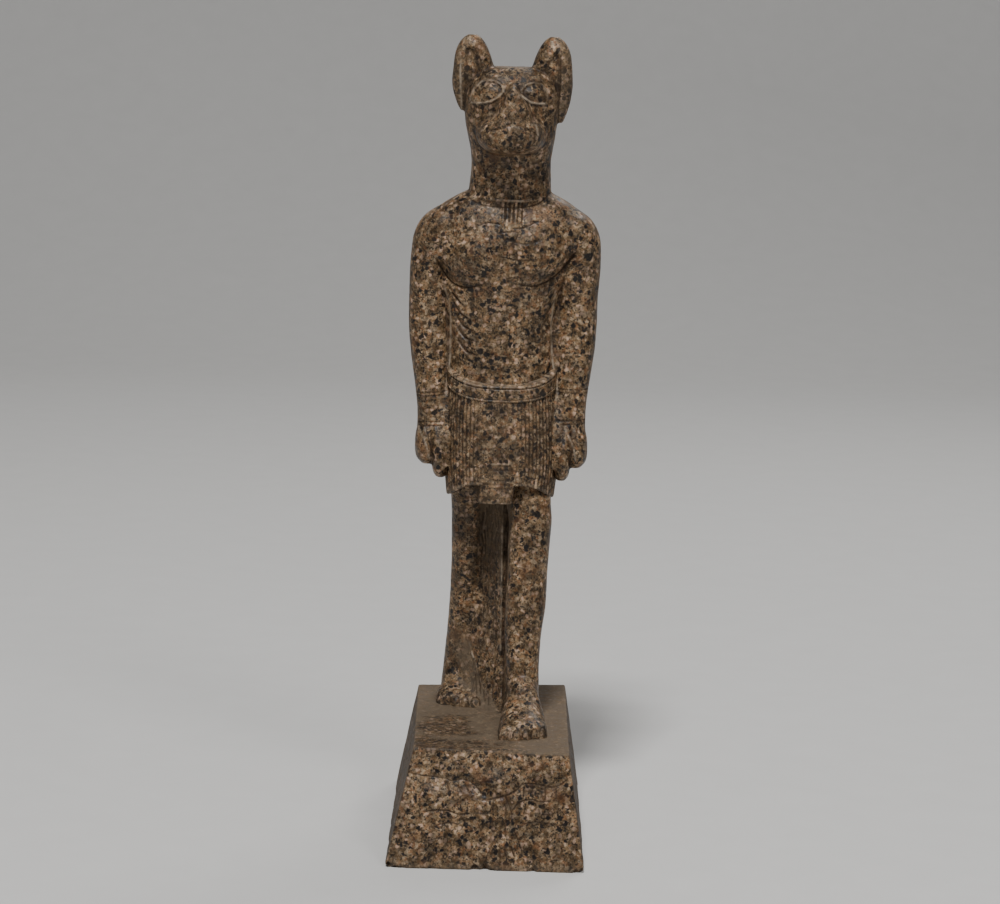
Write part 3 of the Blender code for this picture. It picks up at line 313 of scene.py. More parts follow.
PENDANT_WING = ((1.8, 240.5), (6.0, 245.5), (11.0, 248.2), (16.2, 247.6), (13.0, 241.5), (8.0, 236.5),
                (1.8, 233.5))
PENDANT_X = 1.6
# Necklace: how far its strands stand apart, the heights each runs through, and the ends of the cuts between
STRAND_SPACING = 2.1
STRAND_HEIGHTS = (260.5, 254.0, 247.0)
STRAND_GAP = (260.3, 251.0)
# Swelling on each side of the chest: its middle, half width, half height and rise
BREAST = ((17.0, 231.0), 19.0, 17.0, 2.6)
RIBS = (
    ((29.6, 219.0), (25.6, 213.6), (21.4, 208.9), (15.6, 205.7)),
    ((26.0, 211.0), (21.4, 203.6), (16.2, 200.7)),
    ((24.4, 204.4), (19.6, 197.4), (13.8, 194.9)),
    ((23.8, 198.4), (18.7, 191.6), (12.9, 189.9)),
    ((22.8, 190.9), (17.8, 184.8), (12.7, 183.2)),
)
# Lines cut with a fine tool on the figure, as seen from the front
FINE_CUTS = (
    ((-46, 163.0), (-41.8, 162.6), (-28.0, 163.8)), ((-46, 161.2), (-41.8, 160.8), (-28.0, 162.0)),
    ((28.0, 166.5), (42.3, 166.3), (48, 166.3)), ((28.0, 164.7), (42.3, 164.5), (48, 164.5)),
    ((-46, 148.0), (-41.4, 147.7), (-29.5, 148.7)), ((-46, 146.2), (-41.4, 145.9), (-30.5, 146.8)),
    ((29.5, 150.6), (41.3, 150.9), (48, 150.9)), ((30.5, 148.8), (41.3, 149.1), (48, 149.1)),
    ((-38.6, 146.8), (-36.8, 140.3), (-34.4, 131.0), (-34.2, 126.8)),
    ((38.8, 147.8), (37.2, 141.3), (35.2, 132.0), (35.0, 127.8)),
    ((-19.5, 336.6), (-17.0, 333.4), (-15.5, 329.6), (-14.6, 325.7), (-12.6, 322.2)),
    ((24.0, 334.0), (24.2, 318.0), (23.6, 308.0)),
    ((-14.6, 248.8), (-9.0, 250.4), (-3.7, 249.6)), ((2.8, 247.8), (9.0, 248.6), (15.1, 251.7)),
    ((-3.6, 245.7), (5.4, 246.0), (1.1, 238.9), (-3.6, 245.7)), ((-1.0, 242.3), (9.5, 240.4), (16.9, 242.5)),
    ((-3.2, 233.8), (5.5, 232.4), (14.2, 232.8)),
    ((-23.1, 264.9), (-15.0, 259.4), (0.5, 257.8), (14.0, 259.6), (21.7, 265.7)),
)
# Lines cut on the plinth's front, in metres: the wings, their rows and feathers, the body and the tail
BIRD_CUTS = (
    ((-0.0362, 0.0436), (-0.0309, 0.0432), (-0.0200, 0.0423), (-0.0175, 0.0413), (-0.0115, 0.0423),
     (-0.0073, 0.0409), (-0.0053, 0.0395), (-0.0013, 0.0352)),
    ((0.0105, 0.0362), (0.0147, 0.0387), (0.0175, 0.0414), (0.0236, 0.0415), (0.0297, 0.0405),
     (0.0345, 0.0410), (0.0384, 0.0438)),
    ((-0.0303, 0.0269), (-0.0195, 0.0278), (-0.0134, 0.0263), (-0.0055, 0.0271), (0.0029, 0.0273)),
    ((0.0130, 0.0293), (0.0160, 0.0329), (0.0214, 0.0345), (0.0255, 0.0335), (0.0309, 0.0339)),
    ((0.0271, 0.0272), (0.0330, 0.0279), (0.0373, 0.0309)),
    ((0.0181, 0.0226), (0.0242, 0.0238), (0.0284, 0.0234), (0.0341, 0.0225)),
    ((-0.0241, 0.0206), (-0.0181, 0.0221), (-0.0132, 0.0217)), ((-0.0299, 0.0125), (-0.0209, 0.0156)),
    ((0.0093, 0.0351), (0.0126, 0.0264), (0.0079, 0.0217), (0.0071, 0.0159)),
    ((-0.0058, 0.0340), (-0.0002, 0.0334), (0.0051, 0.0347), (0.0104, 0.0362)),
    ((0.0138, 0.0194), (0.0159, 0.0148), (0.0185, 0.0081)),
    ((0.0061, 0.0177), (0.0024, 0.0107), (-0.0003, 0.0032)),
    ((0.0124, 0.0119), (0.0144, 0.0073)), ((0.0092, 0.0118), (0.0108, 0.0063)),
    ((0.0070, 0.0099), (0.0078, 0.0043)), ((0.0038, 0.0112), (0.0030, 0.0065)),
    ((0.0182, 0.0400), (0.0177, 0.0348)), ((0.0224, 0.0403), (0.0223, 0.0350)),
    ((0.0285, 0.0398), (0.0284, 0.0347)), ((0.0336, 0.0400), (0.0337, 0.0353)),
    ((-0.0141, 0.0395), (-0.0120, 0.0359)), ((-0.0107, 0.0401), (-0.0071, 0.0341)),
    ((-0.0194, 0.0403), (-0.0178, 0.0348)),
)
# Edges worn pale and given a painted highlight, as seen from the front: the arms' inner edges, the lower
# lids, the collar, one ear, the fists, the cheek, the web and its flare
WORN_EDGES = (
    ((-31.3, 218.6), (-27.6, 204.6), (-27.0, 181.1), (-28.0, 170.7), (-28.4, 162.0)),
    ((25.2, 216.2), (23.7, 199.4), (24.7, 181.0), (27.1, 169.8), (27.6, 161.0)),
    ((-5.0, 314.6), (-9.5, 311.1), (-13.9, 309.8), (-19.6, 309.6)),
    ((4.6, 314.4), (9.5, 311.0), (13.2, 310.2), (17.0, 310.2)),
    ((-3.0, 261.6), (3.0, 261.2), (10.0, 261.6)), ((-25.6, 330.0), (-25.4, 318.0), (-24.6, 306.0)),
    ((-42.4, 146.0), (-38.2, 138.0), (-36.0, 130.0)), ((32.0, 147.0), (36.5, 138.0), (38.0, 131.0)),
    ((12.8, 300.0), (13.8, 295.4)), ((2.0, 96.0), (2.6, 56.0), (3.0, 30.0)),
    ((-15.9, 37.0), (-13.4, 29.5), (-11.0, 23.5)),
)
# How pale the eyes' rims are worn, with a painted highlight, left and right
RIM_WEAR_AND_HIGHLIGHT = (0.6, 0.35)

# Colours of the grains by their random number: of the large grains and of the small ones between
GRAIN_STOPS = (
    (0.0, (0.010, 0.009, 0.008)), (1.0, (0.090, 0.074, 0.056)), (0.12, (0.026, 0.018, 0.011)),
    (0.30, (0.078, 0.047, 0.022)), (0.50, (0.150, 0.098, 0.050)), (0.64, (0.165, 0.066, 0.026)),
    (0.76, (0.220, 0.150, 0.086)), (0.90, (0.330, 0.250, 0.165)),
)
SMALL_STOPS = (
    (0.0, (0.014, 0.011, 0.008)), (1.0, (0.280, 0.205, 0.130)), (0.3, (0.082, 0.050, 0.023)),
    (0.6, (0.160, 0.092, 0.042)),
)
# Colours of what lies in, on and over the grains: dust, painted shade in hollows, dirt with painted shade in
# cuts, and worn stone with a painted highlight
FLECK = (0.012, 0.010, 0.008, 1)
QUARTZ = (0.440, 0.300, 0.215, 1)
MICA = (0.006, 0.006, 0.007, 1)
WARM_STAIN = (0.200, 0.088, 0.035, 1)
DUST = ((0.104, 0.076, 0.049, 1), (0.142, 0.106, 0.071, 1))
HOLLOW_SHADE = (0.024, 0.013, 0.007, 1)
CUT_DIRT_AND_SHADE = (0.022, 0.012, 0.006, 1)
WORN_STONE_AND_HIGHLIGHT = (0.380, 0.305, 0.225, 1)

# The photograph's camera
EYE_PLACE = (0.00155, -1.470, 0.4390)
EYE_PITCH = 9.5
EYE_ROLL = 1.7
EYE_LENS = 107.3
# Soft boxes: name, place, the point they face, size in metres and power in watts
SOFT_BOXES = (
    ("key", (-0.28, -1.55, 2.80), (0, 0, 0.20), 0.50, 91),
    ("fill", (0.75, -1.00, 1.50), (0, 0, 0.20), 0.40, 5),
    ("back", (0.5, 1.1, 1.4), (0, 0, 0.25), 0.8, 8),
)
AIR_COLOUR = (0.9, 0.93, 1.0, 1)
AIR_STRENGTH = 0.07
# Floor in metres: flat from its front edge to the sweep, which rises into the wall
FLOOR_HALF_WIDTH = 5.0
FLOOR_FRONT = -3.0
SWEEP_START = 1.6
SWEEP_RADIUS = 1.2
WALL_TOP = 5.0
PAPER = ((0.62, 0.61, 0.59, 1), (0.66, 0.65, 0.63, 1))


class Socket:
    """A node's output that Python's signs work on: each sign adds a Math node."""

    def __init__(self, graph, output):
        self.graph = graph
        self.output = output

    def sibling(self, name):
        """Another output of the same node."""
        return Socket(self.graph, self.output.node.outputs[name])

    def maths(self, operation, first, second):
        return self.graph.node("ShaderNodeMath", {"operation": operation}, {0: first, 1: second})

    def __add__(self, other):
        return self.maths("ADD", self, other)

    def __radd__(self, other):
        return self.maths("ADD", other, self)

    def __sub__(self, other):
        return self.maths("SUBTRACT", self, other)

    def __rsub__(self, other):
        return self.maths("SUBTRACT", other, self)

    def __mul__(self, other):
        return self.maths("MULTIPLY", self, other)

    def __rmul__(self, other):
        return self.maths("MULTIPLY", other, self)

    def __truediv__(self, other):
        return self.maths("DIVIDE", self, other)


class Graph:
    """A node tree that grows one node at a time."""

    def __init__(self, tree):
        self.tree = tree

    def node(self, kind, settings, inputs, output=0):
        """Adds a node: its settings first, then its sockets' values or links."""
        node = self.tree.nodes.new(kind)
        for name, value in settings.items():
            if name == "stops":
                self.set_stops(node.color_ramp, value)
            else:
                setattr(node, name, value)
        for name, value in inputs.items():
            self.feed(node.inputs[name], value)
        return Socket(self, node.outputs[output])

    def set_stops(self, ramp, stops):
        for number, (place, colour) in enumerate(stops):
            stop = ramp.elements[number] if number < 2 else ramp.elements.new(place)
            stop.position = place
            stop.color = (*colour, 1)

    def feed(self, target, value):
        if isinstance(value, Socket):
            self.tree.links.new(value.output, target)
        else:
            target.default_value = value

    def between(self, value, low, high, start=0.0, end=1.0):
        """A smooth step from start at the low value to end at the high one."""
        return self.node("ShaderNodeMapRange", {"interpolation_type": "SMOOTHSTEP"},
                         {"Value": value, "From Min": low, "From Max": high, "To Min": start, "To Max": end})

    def vector(self, operation, first, second):
        return self.node("ShaderNodeVectorMath", {"operation": operation}, {0: first, 1: second})

    def scaled(self, vector, share):
        return self.node("ShaderNodeVectorMath", {"operation": "SCALE"}, {0: vector, "Scale": share})

    def mixed(self, share, first, second, blend="MIX"):
        """One colour laid over another."""
        return self.node("ShaderNodeMix", {"data_type": "RGBA", "blend_type": blend},
                         {0: share, 6: first, 7: second}, 2)

    def noise(self, place, scale, detail, output="Fac"):
        """Smooth random numbers or colours over the places."""
        inputs = {"Vector": place, "Scale": scale, "Detail": detail}
        return self.node("ShaderNodeTexNoise", {}, inputs, output)

    def kept(self, name):
        """A number kept on the mesh's points, as a material reads it."""
        return self.node("ShaderNodeAttribute", {"attribute_name": name}, {}, "Fac")

    def held(self, name):
        """A number kept on the mesh's points, as a Geometry Nodes tree reads it."""
        return self.node("GeometryNodeInputNamedAttribute", {"data_type": "FLOAT"}, {"Name": name}, 0)

    def keep(self, stone, name, value):
        """The stone with one number kept on each of its points."""
        return self.node("GeometryNodeStoreNamedAttribute", {"data_type": "FLOAT", "domain": "POINT"},
                         {"Geometry": stone, "Name": name, "Value": value})

    def normal(self):
        return self.node("GeometryNodeInputNormal", {}, {})


def linked(name, data):
    """A new object in the scene that holds this data."""
    piece = bpy.data.objects.new(name, data)
    bpy.context.scene.collection.objects.link(piece)
    return piece


def mesh_object(name, bm):
    """A new object in the scene that holds the faces built so far."""
    mesh = bpy.data.meshes.new(name)
    bm.to_mesh(mesh)
    bm.free()
    return linked(name, mesh)


def smooth_rows(rows, steps):
    """Rows along a smooth curve through the given rows, with this many steps between each pair."""
    rows = np.array(rows, dtype=float)
    padded = np.vstack((2 * rows[0] - rows[1], rows, 2 * rows[-1] - rows[-2]))
    result = []
    for i in range(1, len(padded) - 2):
        before, start, end, after = padded[i - 1:i + 3]
        for t in np.arange(steps) / steps:
            result.append(0.5 * (2 * start + (end - before) * t
                                 + (2 * before - 5 * start + 4 * end - after) * t ** 2
                                 + (3 * start - before - 3 * end + after) * t ** 3))
    result.append(rows[-1])
    return np.array(result)


def closed_loft(name, rings):
    """A closed mesh through rings of as many points each, its ends closed with flat fans."""
    bm = bmesh.new()
    loops = [[bm.verts.new(point) for point in ring] for ring in rings]
    count = len(loops[0])
    for lower, upper in zip(loops, loops[1:]):
        for i in range(count):
            j = (i + 1) % count
            bm.faces.new((lower[i], lower[j], upper[j], upper[i]))
    for loop in (loops[0], loops[-1]):
        middle = bm.verts.new(sum((v.co for v in loop), loop[0].co * 0) / count)
        for i in range(count):
            bm.faces.new((loop[i], loop[(i + 1) % count], middle))
    bmesh.ops.recalc_face_normals(bm, faces=bm.faces)
    return mesh_object(name, bm)


def rounded(angle, squareness):
    """Cosine and sine of a circle that is pressed toward a square."""
    c = np.cos(angle)
    s = np.sin(angle)
    power = 2 / squareness
    return np.sign(c) * np.abs(c) ** power, np.sign(s) * np.abs(s) ** power


def depth_from(middle, front, back, along):
    """How far a section reaches from its middle: to its front where along is above 0, else to its back."""
    return np.where(along > 0, middle - front, back - middle)


def level_ring(z, x, half_width, front, middle, back, sides=96, squareness=2.2):
    """A level section in units: half an oval toward the front and half toward the back."""
    across, along = rounded(np.arange(sides) * 2 * np.pi / sides, squareness)
    depth = depth_from(middle, front, back, along)
    points = np.column_stack((x + across * half_width, middle - along * depth, np.full(sides, z)))
    return points * UNIT


def upright_ring(y, x, z, half_width, rise, drop, sides=80, squareness=2.4, taper=0.0):
    """An upright section in units, across the figure; taper narrows its upper half."""
    across, along = rounded(np.arange(sides) * 2 * np.pi / sides, squareness)
    across = across * (1 - taper * np.clip(along, 0, 1))
    height = np.where(along > 0, rise, drop)
    points = np.column_stack((x + across * half_width, np.full(sides, y), z + along * height))
    return points * UNIT


def level_loft(name, table, side=1, **section):
    """A body through level sections; side -1 mirrors it to the figure's other side."""
    rings = [level_ring(*row, **section) for row in smooth_rows(table, LOFT_STEPS)]
    return closed_loft(name, [ring * (side, 1, 1) for ring in rings])


def upright_loft(name, table, **section):
    """A body through upright sections."""
    return closed_loft(name, [upright_ring(*row, **section) for row in smooth_rows(table, LOFT_STEPS)])


def ear_rows(lift):
    """The ear's sections, with its lower end raised by this much."""
    span = EAR_MIDDLE - EAR[0][0]
    return [(z + lift * max(0, EAR_MIDDLE - z) / span, *row) for z, *row in EAR]


def toe_lofts(x, tip, outward):
    """Five toes side by side; outward is the side of the little toe."""
    toes = []
    for across, half_width, behind in TOES:
        toe_x = x + outward * across
        end = tip + behind
        rows = ((end + TOE_LENGTH, toe_x, 0, half_width, TOE_HEIGHT, 6),
                (end + TOE_LENGTH / 2, toe_x, 0, half_width, TOE_HEIGHT, 6),
                (end + 1.6, toe_x, 0, half_width * 0.92, TOE_HEIGHT * 0.82, 6),
                (end, toe_x, 0, half_width * 0.5, TOE_HEIGHT * 0.45, 5))
        toes.append(upright_loft("toe", rows, sides=32))
    return toes


def web_and_pillar():
    """The stone left between the legs, and the pillar behind the figure."""
    rings = [np.column_stack((plan, np.full(len(plan), z))) * UNIT for z, plan in WEB]
    half = PILLAR_WIDTH / 2
    front = PILLAR_FRONT * UNIT
    plan = ((-half, front), (half, front), (half, PILLAR_BACK), (-half, PILLAR_BACK))
    return [closed_loft("web", rings),
            closed_loft("pillar", [[(px, py, z) for px, py in plan] for z in (-SUNK, PILLAR_HEIGHT)])]


def modified(piece, kind, **settings):
    """Apply one modifier to a piece at once."""
    modifier = piece.modifiers.new(kind.title(), kind)
    for name, value in settings.items():
        setattr(modifier, name, value)
    return applied(piece)


def applied(piece):
    """The piece with its modifiers' result as its own mesh."""
    graph = bpy.context.evaluated_depsgraph_get()
    mesh = bpy.data.meshes.new_from_object(piece.evaluated_get(graph))
    piece.modifiers.clear()
    piece.data = mesh
    return piece


def joined(name, pieces):
    """One object that holds the faces of all these pieces."""
    bm = bmesh.new()
    for piece in pieces:
        bm.from_mesh(piece.data)
        bpy.data.objects.remove(piece)
    return mesh_object(name, bm)


def thinned(piece, count):
    """Bring a piece down to about this many triangles."""
    triangles = sum(len(p.vertices) - 2 for p in piece.data.polygons)
    modified(piece, "DECIMATE", ratio=count / triangles)


def vectors_of(points, field):
    """One row of three numbers for each point."""
    flat = np.empty(len(points) * 3)
    points.foreach_get(field, flat)
    return flat.reshape(-1, 3)


def places_of(mesh):
    """Where the mesh's points are."""
    return vectors_of(mesh.vertices, "co")


def normals_of(mesh):
    """Which way the mesh's surface faces at each point."""
    return vectors_of(mesh.vertex_normals, "vector")


def move_places(mesh, places):
    """Put the mesh's points at these places."""
    mesh.vertices.foreach_set("co", np.ascontiguousarray(places).ravel())
    mesh.update()


def store(mesh, name, values):
    """Keep one number for each point of the mesh, for the stone's nodes to read."""
    layer = mesh.attributes.get(name) or mesh.attributes.new(name, "FLOAT", "POINT")
    layer.data.foreach_set("value", np.asarray(values, dtype=np.float32))


def store_highest(mesh, name, values):
    """Raise the numbers kept under a name to these where these are higher."""
    held = np.empty(len(mesh.vertices), dtype=np.float32)
    mesh.attributes[name].data.foreach_get("value", held)
    store(mesh, name, np.maximum(held, values))


def step(values, low, high):
    """A smooth step from 0 at the low value to 1 at the high one."""
    share = np.clip((values - low) / (high - low), 0, 1)
    return share * share * (3 - 2 * share)


def lumps(places, size, seed):
    """Smooth random heights from -1 to 1 over lumps of this size, the same each run."""
    table = np.random.default_rng(seed).uniform(-1, 1, 8192)
    cell = places / size
    low = np.floor(cell).astype(int)
    share = cell - low
    share = share * share * (3 - 2 * share)
    result = np.zeros(len(places))
    for corner in np.ndindex(2, 2, 2):
        index = (low + corner) @ np.array((127, 311, 743))
        weight = np.prod(np.where(corner, share, 1 - share), axis=1)
        result += weight * table[index % len(table)]
    return result


def line_distance(points, x, z):
    """Distance from each place to a line through the points, and the share of the line's length there."""
    nearest = np.full(len(x), np.inf)
    reached = np.zeros(len(x))
    lengths = np.hypot(*np.diff(np.asarray(points), axis=0).T)
    starts = np.concatenate(((0,), np.cumsum(lengths)))
    for number, ((ax, az), (bx, bz)) in enumerate(zip(points, points[1:])):
        run_x = bx - ax
        run_z = bz - az
        share = np.clip(((x - ax) * run_x + (z - az) * run_z) / (run_x ** 2 + run_z ** 2), 0, 1)
        distance = np.hypot(x - ax - share * run_x, z - az - share * run_z)
        closer = distance < nearest
        nearest = np.where(closer, distance, nearest)
        reached = np.where(closer, (starts[number] + share * lengths[number]) / starts[-1], reached)
    return nearest, reached


def inside(points, x, z):
    """Which places lie inside a closed outline."""
    found = np.zeros(len(x), dtype=bool)
    for (ax, az), (bx, bz) in zip(points, np.roll(points, -1, axis=0)):
        if az != bz:
            crossed = (az > z) != (bz > z)
            found ^= crossed & (x < ax + (z - az) / (bz - az) * (bx - ax))
    return found


def near(points, reach, x, z):
    """Which places lie within this reach of the points' box."""
    low_x, low_z = np.min(points, axis=0) - reach
    high_x, high_z = np.max(points, axis=0) + reach
    return (x > low_x) & (x < high_x) & (z > low_z) & (z < high_z)


def line_relief(points, width, height, x, z, fades=(0, 0)):
    """Rise of a rounded line; it fades over these shares of its length at its start and end."""
    rise = np.zeros(len(x))
    close = near(points, width, x, z)
    distance, reached = line_distance(smooth_rows(points, CURVE_STEPS), x[close], z[close])
    rise[close] = height * step(distance, width / 2, 0)
    if fades[0]:
        rise[close] *= step(reached, 0, fades[0])
    if fades[1]:
        rise[close] *= step(reached, 1, 1 - fades[1])
    return rise


def area_relief(points, edge, height, x, z):
    """Rise of an area, reached over a sloping edge of this width inside its outline."""
    rise = np.zeros(len(x))
    close = near(points, edge, x, z)
    curve = smooth_rows(tuple(points) + (points[0],), CURVE_STEPS)[:-1]
    depth, _ = line_distance(np.vstack((curve, curve[0])), x[close], z[close])
    rise[close] = height * step(depth, 0, edge) * inside(curve, x[close], z[close])
    return rise


def swell_relief(centre, half_width, half_height, height, x, z):
    """Rise of a soft oval swelling."""
    reach = np.hypot((x - centre[0]) / half_width, (z - centre[1]) / half_height)
    return height * step(reach, 1, 0)


def body_relief(x, z):
    """Carving on the figure's front, in units, for places given from the front."""
    rise = np.zeros(len(x))
    pairs = zip(EYE_BALLS, EYE_RIMS, EYE_EDGES, LOWER_LIDS, BROWS, EAR_BOWLS, PECTORALS)
    for ball, rim, edge, lid, brow, bowl, crease in pairs:
        rise += swell_relief(ball, 6.4, 4.8, 1.2, x, z)
        rise += line_relief(rim, 2.2, 0.9, x, z, (0.1, 0.25))
        rise += line_relief(edge, 1.2, -0.20, x, z)
        rise += line_relief(lid, 1.8, 1.0, x, z, (0, 0.15))
        rise += line_relief(brow, 2.0, 0.3, x, z, (0.25, 0.3))
        rise += area_relief(bowl, 2.4, -1.7, x, z)
        rise += line_relief(crease, 8.0, -1.9, x, z, (0.55, 0.1))
        rise += line_relief(crease, 2.2, -0.45, x, z, (0.6, 0.1))
    rise += line_relief(MOUTH, 2.0, -0.20, x, z, (0.1, 0.1))
    rise += line_relief(MOUTH[:4], 2.0, -0.65, x, z, (0.15, 0.5))
    rise += line_relief(MOUTH[4:], 2.0, -0.65, x, z, (0.5, 0.15))
    rise += line_relief(CHEEK_RIDGE, 3.0, 0.8, x, z, (0.15, 0.15))
    rise += area_relief(CHEEK_HOLLOW, 4.0, -1.6, x, z)
    for side in (-1, 1):
        side_x = side * x
        rise += swell_relief(*BREAST, side_x, z)
        rib_depth = 1.05 if side < 0 else 0.65
        for rib in RIBS:
            rise += line_relief(rib, 3.0, -rib_depth, side_x, z, (0.1, 0.45))
        rise += area_relief(PENDANT_WING, 2.0, 0.30, side * (x - PENDANT_X), z)
    rise += line_relief(COLLAR, 1.7, 0.8, x, z, (0.35, 0.35))
    rise += line_relief(FLARE, 1.6, 0.45, x, z, (0.2, 0.2))
    for strand in range(-2, 3):
        line = [(PENDANT_X + strand * STRAND_SPACING, height) for height in STRAND_HEIGHTS]
        rise += line_relief(line, 1.4, 0.70, x, z, (0, 0.3))
    return rise


def body_cuts():
    """Thin lines cut along the chest's creases and ribs, between the strands and round the nails."""
    lines = list(PECTORALS)
    lines += [[(-x, z) for x, z in rib[1:3]] for rib in RIBS]
    for gap in range(-2, 3):
        gap_x = PENDANT_X + (gap + 0.5) * STRAND_SPACING
        lines.append([(gap_x, height) for height in STRAND_GAP])
    for foot_x, _, outward in FEET:
        for across, half_width, _ in TOES:
            middle = foot_x + outward * across
            half = half_width * 0.62
            lines.append([(middle + half * share, height)
                          for share, height in ((-1, 1.6), (-0.8, 4.0), (0, 4.9), (0.8, 4.0), (1, 1.6))])
    return lines


def wing_relief(x, z):
    """Rise of a bird with spread wings, as a share of the relief's full height."""
    rise = np.zeros(len(x))
    for side, span in WING_SPANS:
        share = side * (x - BIRD_X) / span
        fade = np.clip((1 - share) / WING_FADE, 0, 1)
        for lower_edge in WING_ROWS:
            outline = [(u * span, height) for u, height in WING_TOP + lower_edge]
            below = step(np.interp(share, *np.array(WING_TOP).T) - z, 0, WING_SLOPE)
            rise += fade * below * area_relief(outline, ROW_EDGE, 1 / len(WING_ROWS), share * span, z)
    for outline, height in ((BIRD_BODY, 1.0), (BIRD_TAIL, 0.8)):
        rise = np.maximum(rise, area_relief(outline, BODY_EDGE, height, x - BIRD_X, z))
    return np.maximum(rise, swell_relief(DISC_CENTRE, DISC_WIDTH, DISC_HEIGHT, 1.2, x, z))


def carve_front(piece, relief, unit):
    """Move the surface that faces forward by the relief's rise."""
    mesh = piece.data
    places = places_of(mesh)
    facing = np.clip((-normals_of(mesh)[:, 1] - 0.1) / 0.3, 0, 1)
    front = facing > 0
    rise = relief(places[front, 0] / unit, places[front, 2] / unit) * unit
    places[front, 1] -= facing[front] * rise
    move_places(mesh, places)


def roughen(piece, waves):
    """Leave the surface a little uneven, as a hand tool and hand polish do."""
    mesh = piece.data
    places = places_of(mesh)
    rise = sum(height * lumps(places, size, seed) for size, height, seed in waves)
    move_places(mesh, places + normals_of(mesh) * rise[:, None])


def neighbour_mean(mesh):
    """A function that gives the mean of each point's neighbours."""
    count = len(mesh.vertices)
    edges = np.empty(len(mesh.edges) * 2, dtype=np.int32)
    mesh.edges.foreach_get("vertices", edges)
    first, second = edges.reshape(-1, 2).T
    degree = np.maximum(np.bincount(first, minlength=count) + np.bincount(second, minlength=count), 1)

    def mean(places):
        total = [np.bincount(first, places[second, k], count) + np.bincount(second, places[first, k], count)
                 for k in range(3)]
        return np.column_stack(total) / degree[:, None]

    return mean


def soften(piece, share, rounds):
    """Round the surface off where the share given for a place is above zero."""
    mesh = piece.data
    places = places_of(mesh)
    weight = BLEND_SHARE * share(places / UNIT)[:, None]
    mean = neighbour_mean(mesh)
    for _ in range(rounds):
        places += weight * (mean(places) - places)
    move_places(mesh, places)


def weather(piece, dust):
    """Store where the stone is hollowed, for painted shade, where its edges stand out, for wear with a
    painted highlight, and where dust lies.
    """
    mesh = piece.data
    places = places_of(mesh)
    mean = neighbour_mean(mesh)
    smooth = places
    for _ in range(WEATHER_ROUNDS):
        smooth = mean(smooth)
    depth = ((smooth - places) * normals_of(mesh)).sum(axis=1)
    # hollows, which the stone's colour darkens as painted shade
    store(mesh, "hollow", step(depth, 0.3 * HOLLOW_DEPTH, 1.6 * HOLLOW_DEPTH))
    # edges that stand out: worn pale, with a painted highlight
    store(mesh, "ridge", 0.25 * step(-depth, 1.2 * HOLLOW_DEPTH, 3.5 * HOLLOW_DEPTH))
    store(mesh, "dust", np.clip(dust(places), 0, 1))


def lean_figure(piece):
    """Shift a piece of the figure sideways by the lean at each height, and stand it on the plinth."""
    places = places_of(piece.data)
    heights, shifts = np.array(LEAN).T
    places[:, 0] += np.interp(places[:, 2] / UNIT, heights, shifts) * UNIT + FIGURE_X
    places[:, 2] += PLINTH_HEIGHT
    move_places(piece.data, places)


def aged(piece, waves, dust):
    """A small piece of the figure made uneven, weathered under even dust and set in its place."""
    roughen(piece, waves)
    weather(piece, lambda points: np.full(len(points), dust))
    lean_figure(piece)
    return piece


def upright_lines(lines):
    """Lines as seen on the leaning figure, moved to where they are before it leans."""
    heights, shifts = np.array(LEAN).T
    return [[(x - np.interp(z, heights, shifts), z) for x, z in line] for line in lines]


def line_object(name, lines, unit):
    """The lines as a mesh of edges in the upright plane y = 0."""
    verts = []
    edges = []
    for line in lines:
        curve = smooth_rows(line, CURVE_STEPS) if len(line) > 2 else np.array(line, dtype=float)
        start = len(verts)
        verts += [(x * unit, 0, z * unit) for x, z in curve]
        edges += [(i, i + 1) for i in range(start, len(verts) - 1)]
    mesh = bpy.data.meshes.new(name)
    mesh.from_pydata(verts, edges, [])
    return linked(name, mesh)


def carving_tree(name, sizes):
    """A Geometry Nodes tree with named inputs, and its input sockets by name."""
    tree = bpy.data.node_groups.new(name, "GeometryNodeTree")
    tree.interface.new_socket("Stone", in_out="INPUT", socket_type="NodeSocketGeometry")
    for title, kind in sizes:
        tree.interface.new_socket(title, in_out="INPUT", socket_type="NodeSocket" + kind)
    tree.interface.new_socket("Stone", in_out="OUTPUT", socket_type="NodeSocketGeometry")
    graph = Graph(tree)
    entry = tree.nodes.new("NodeGroupInput")
    return graph, {output.name: Socket(graph, output) for output in entry.outputs if output.name}


def end_tree(graph, stone, finish):
    """Close the tree: its stone as plain faces in its finish."""
    whole = graph.node("GeometryNodeRealizeInstances", {}, {"Geometry": stone})
    dressed = graph.node("GeometryNodeSetMaterial", {}, {"Geometry": whole, "Material": finish})
    end = graph.tree.nodes.new("NodeGroupOutput")
    graph.tree.links.new(dressed.output, end.inputs[0])
    return graph.tree


def groove_along(graph, stone, lines, width, depth, share, mark):
    """The stone sunk along lines in the upright plane y = 0, and the cut's share kept under a name."""
    place = graph.node("GeometryNodeInputPosition", {}, {})
    flat = graph.vector("MULTIPLY", place, (1, 0, 1))
    distance = graph.node("GeometryNodeProximity", {"target_element": "EDGES"},
                          {"Geometry": lines, "Sample Position": flat}, "Distance")
    cut = graph.between(distance, 0.0, width * 0.5, 1.0, 0.0)
    sunk = graph.scaled(graph.normal(), (cut * share * depth) * -1.0)
    carved = graph.node("GeometryNodeSetPosition", {}, {"Geometry": stone, "Offset": sunk})
    # the cut's share darkens the stone's colour as dirt and painted shade in the groove
    return graph.keep(carved, mark, cut * share)


def facing_forward(graph):
    """1 where the surface looks forward, 0 where it looks back."""
    forward = graph.node("ShaderNodeVectorMath", {"operation": "DOT_PRODUCT"},
                         {0: graph.normal(), 1: (0, -1, 0)}, "Value")
    return graph.between(forward, 0.05, 0.35)


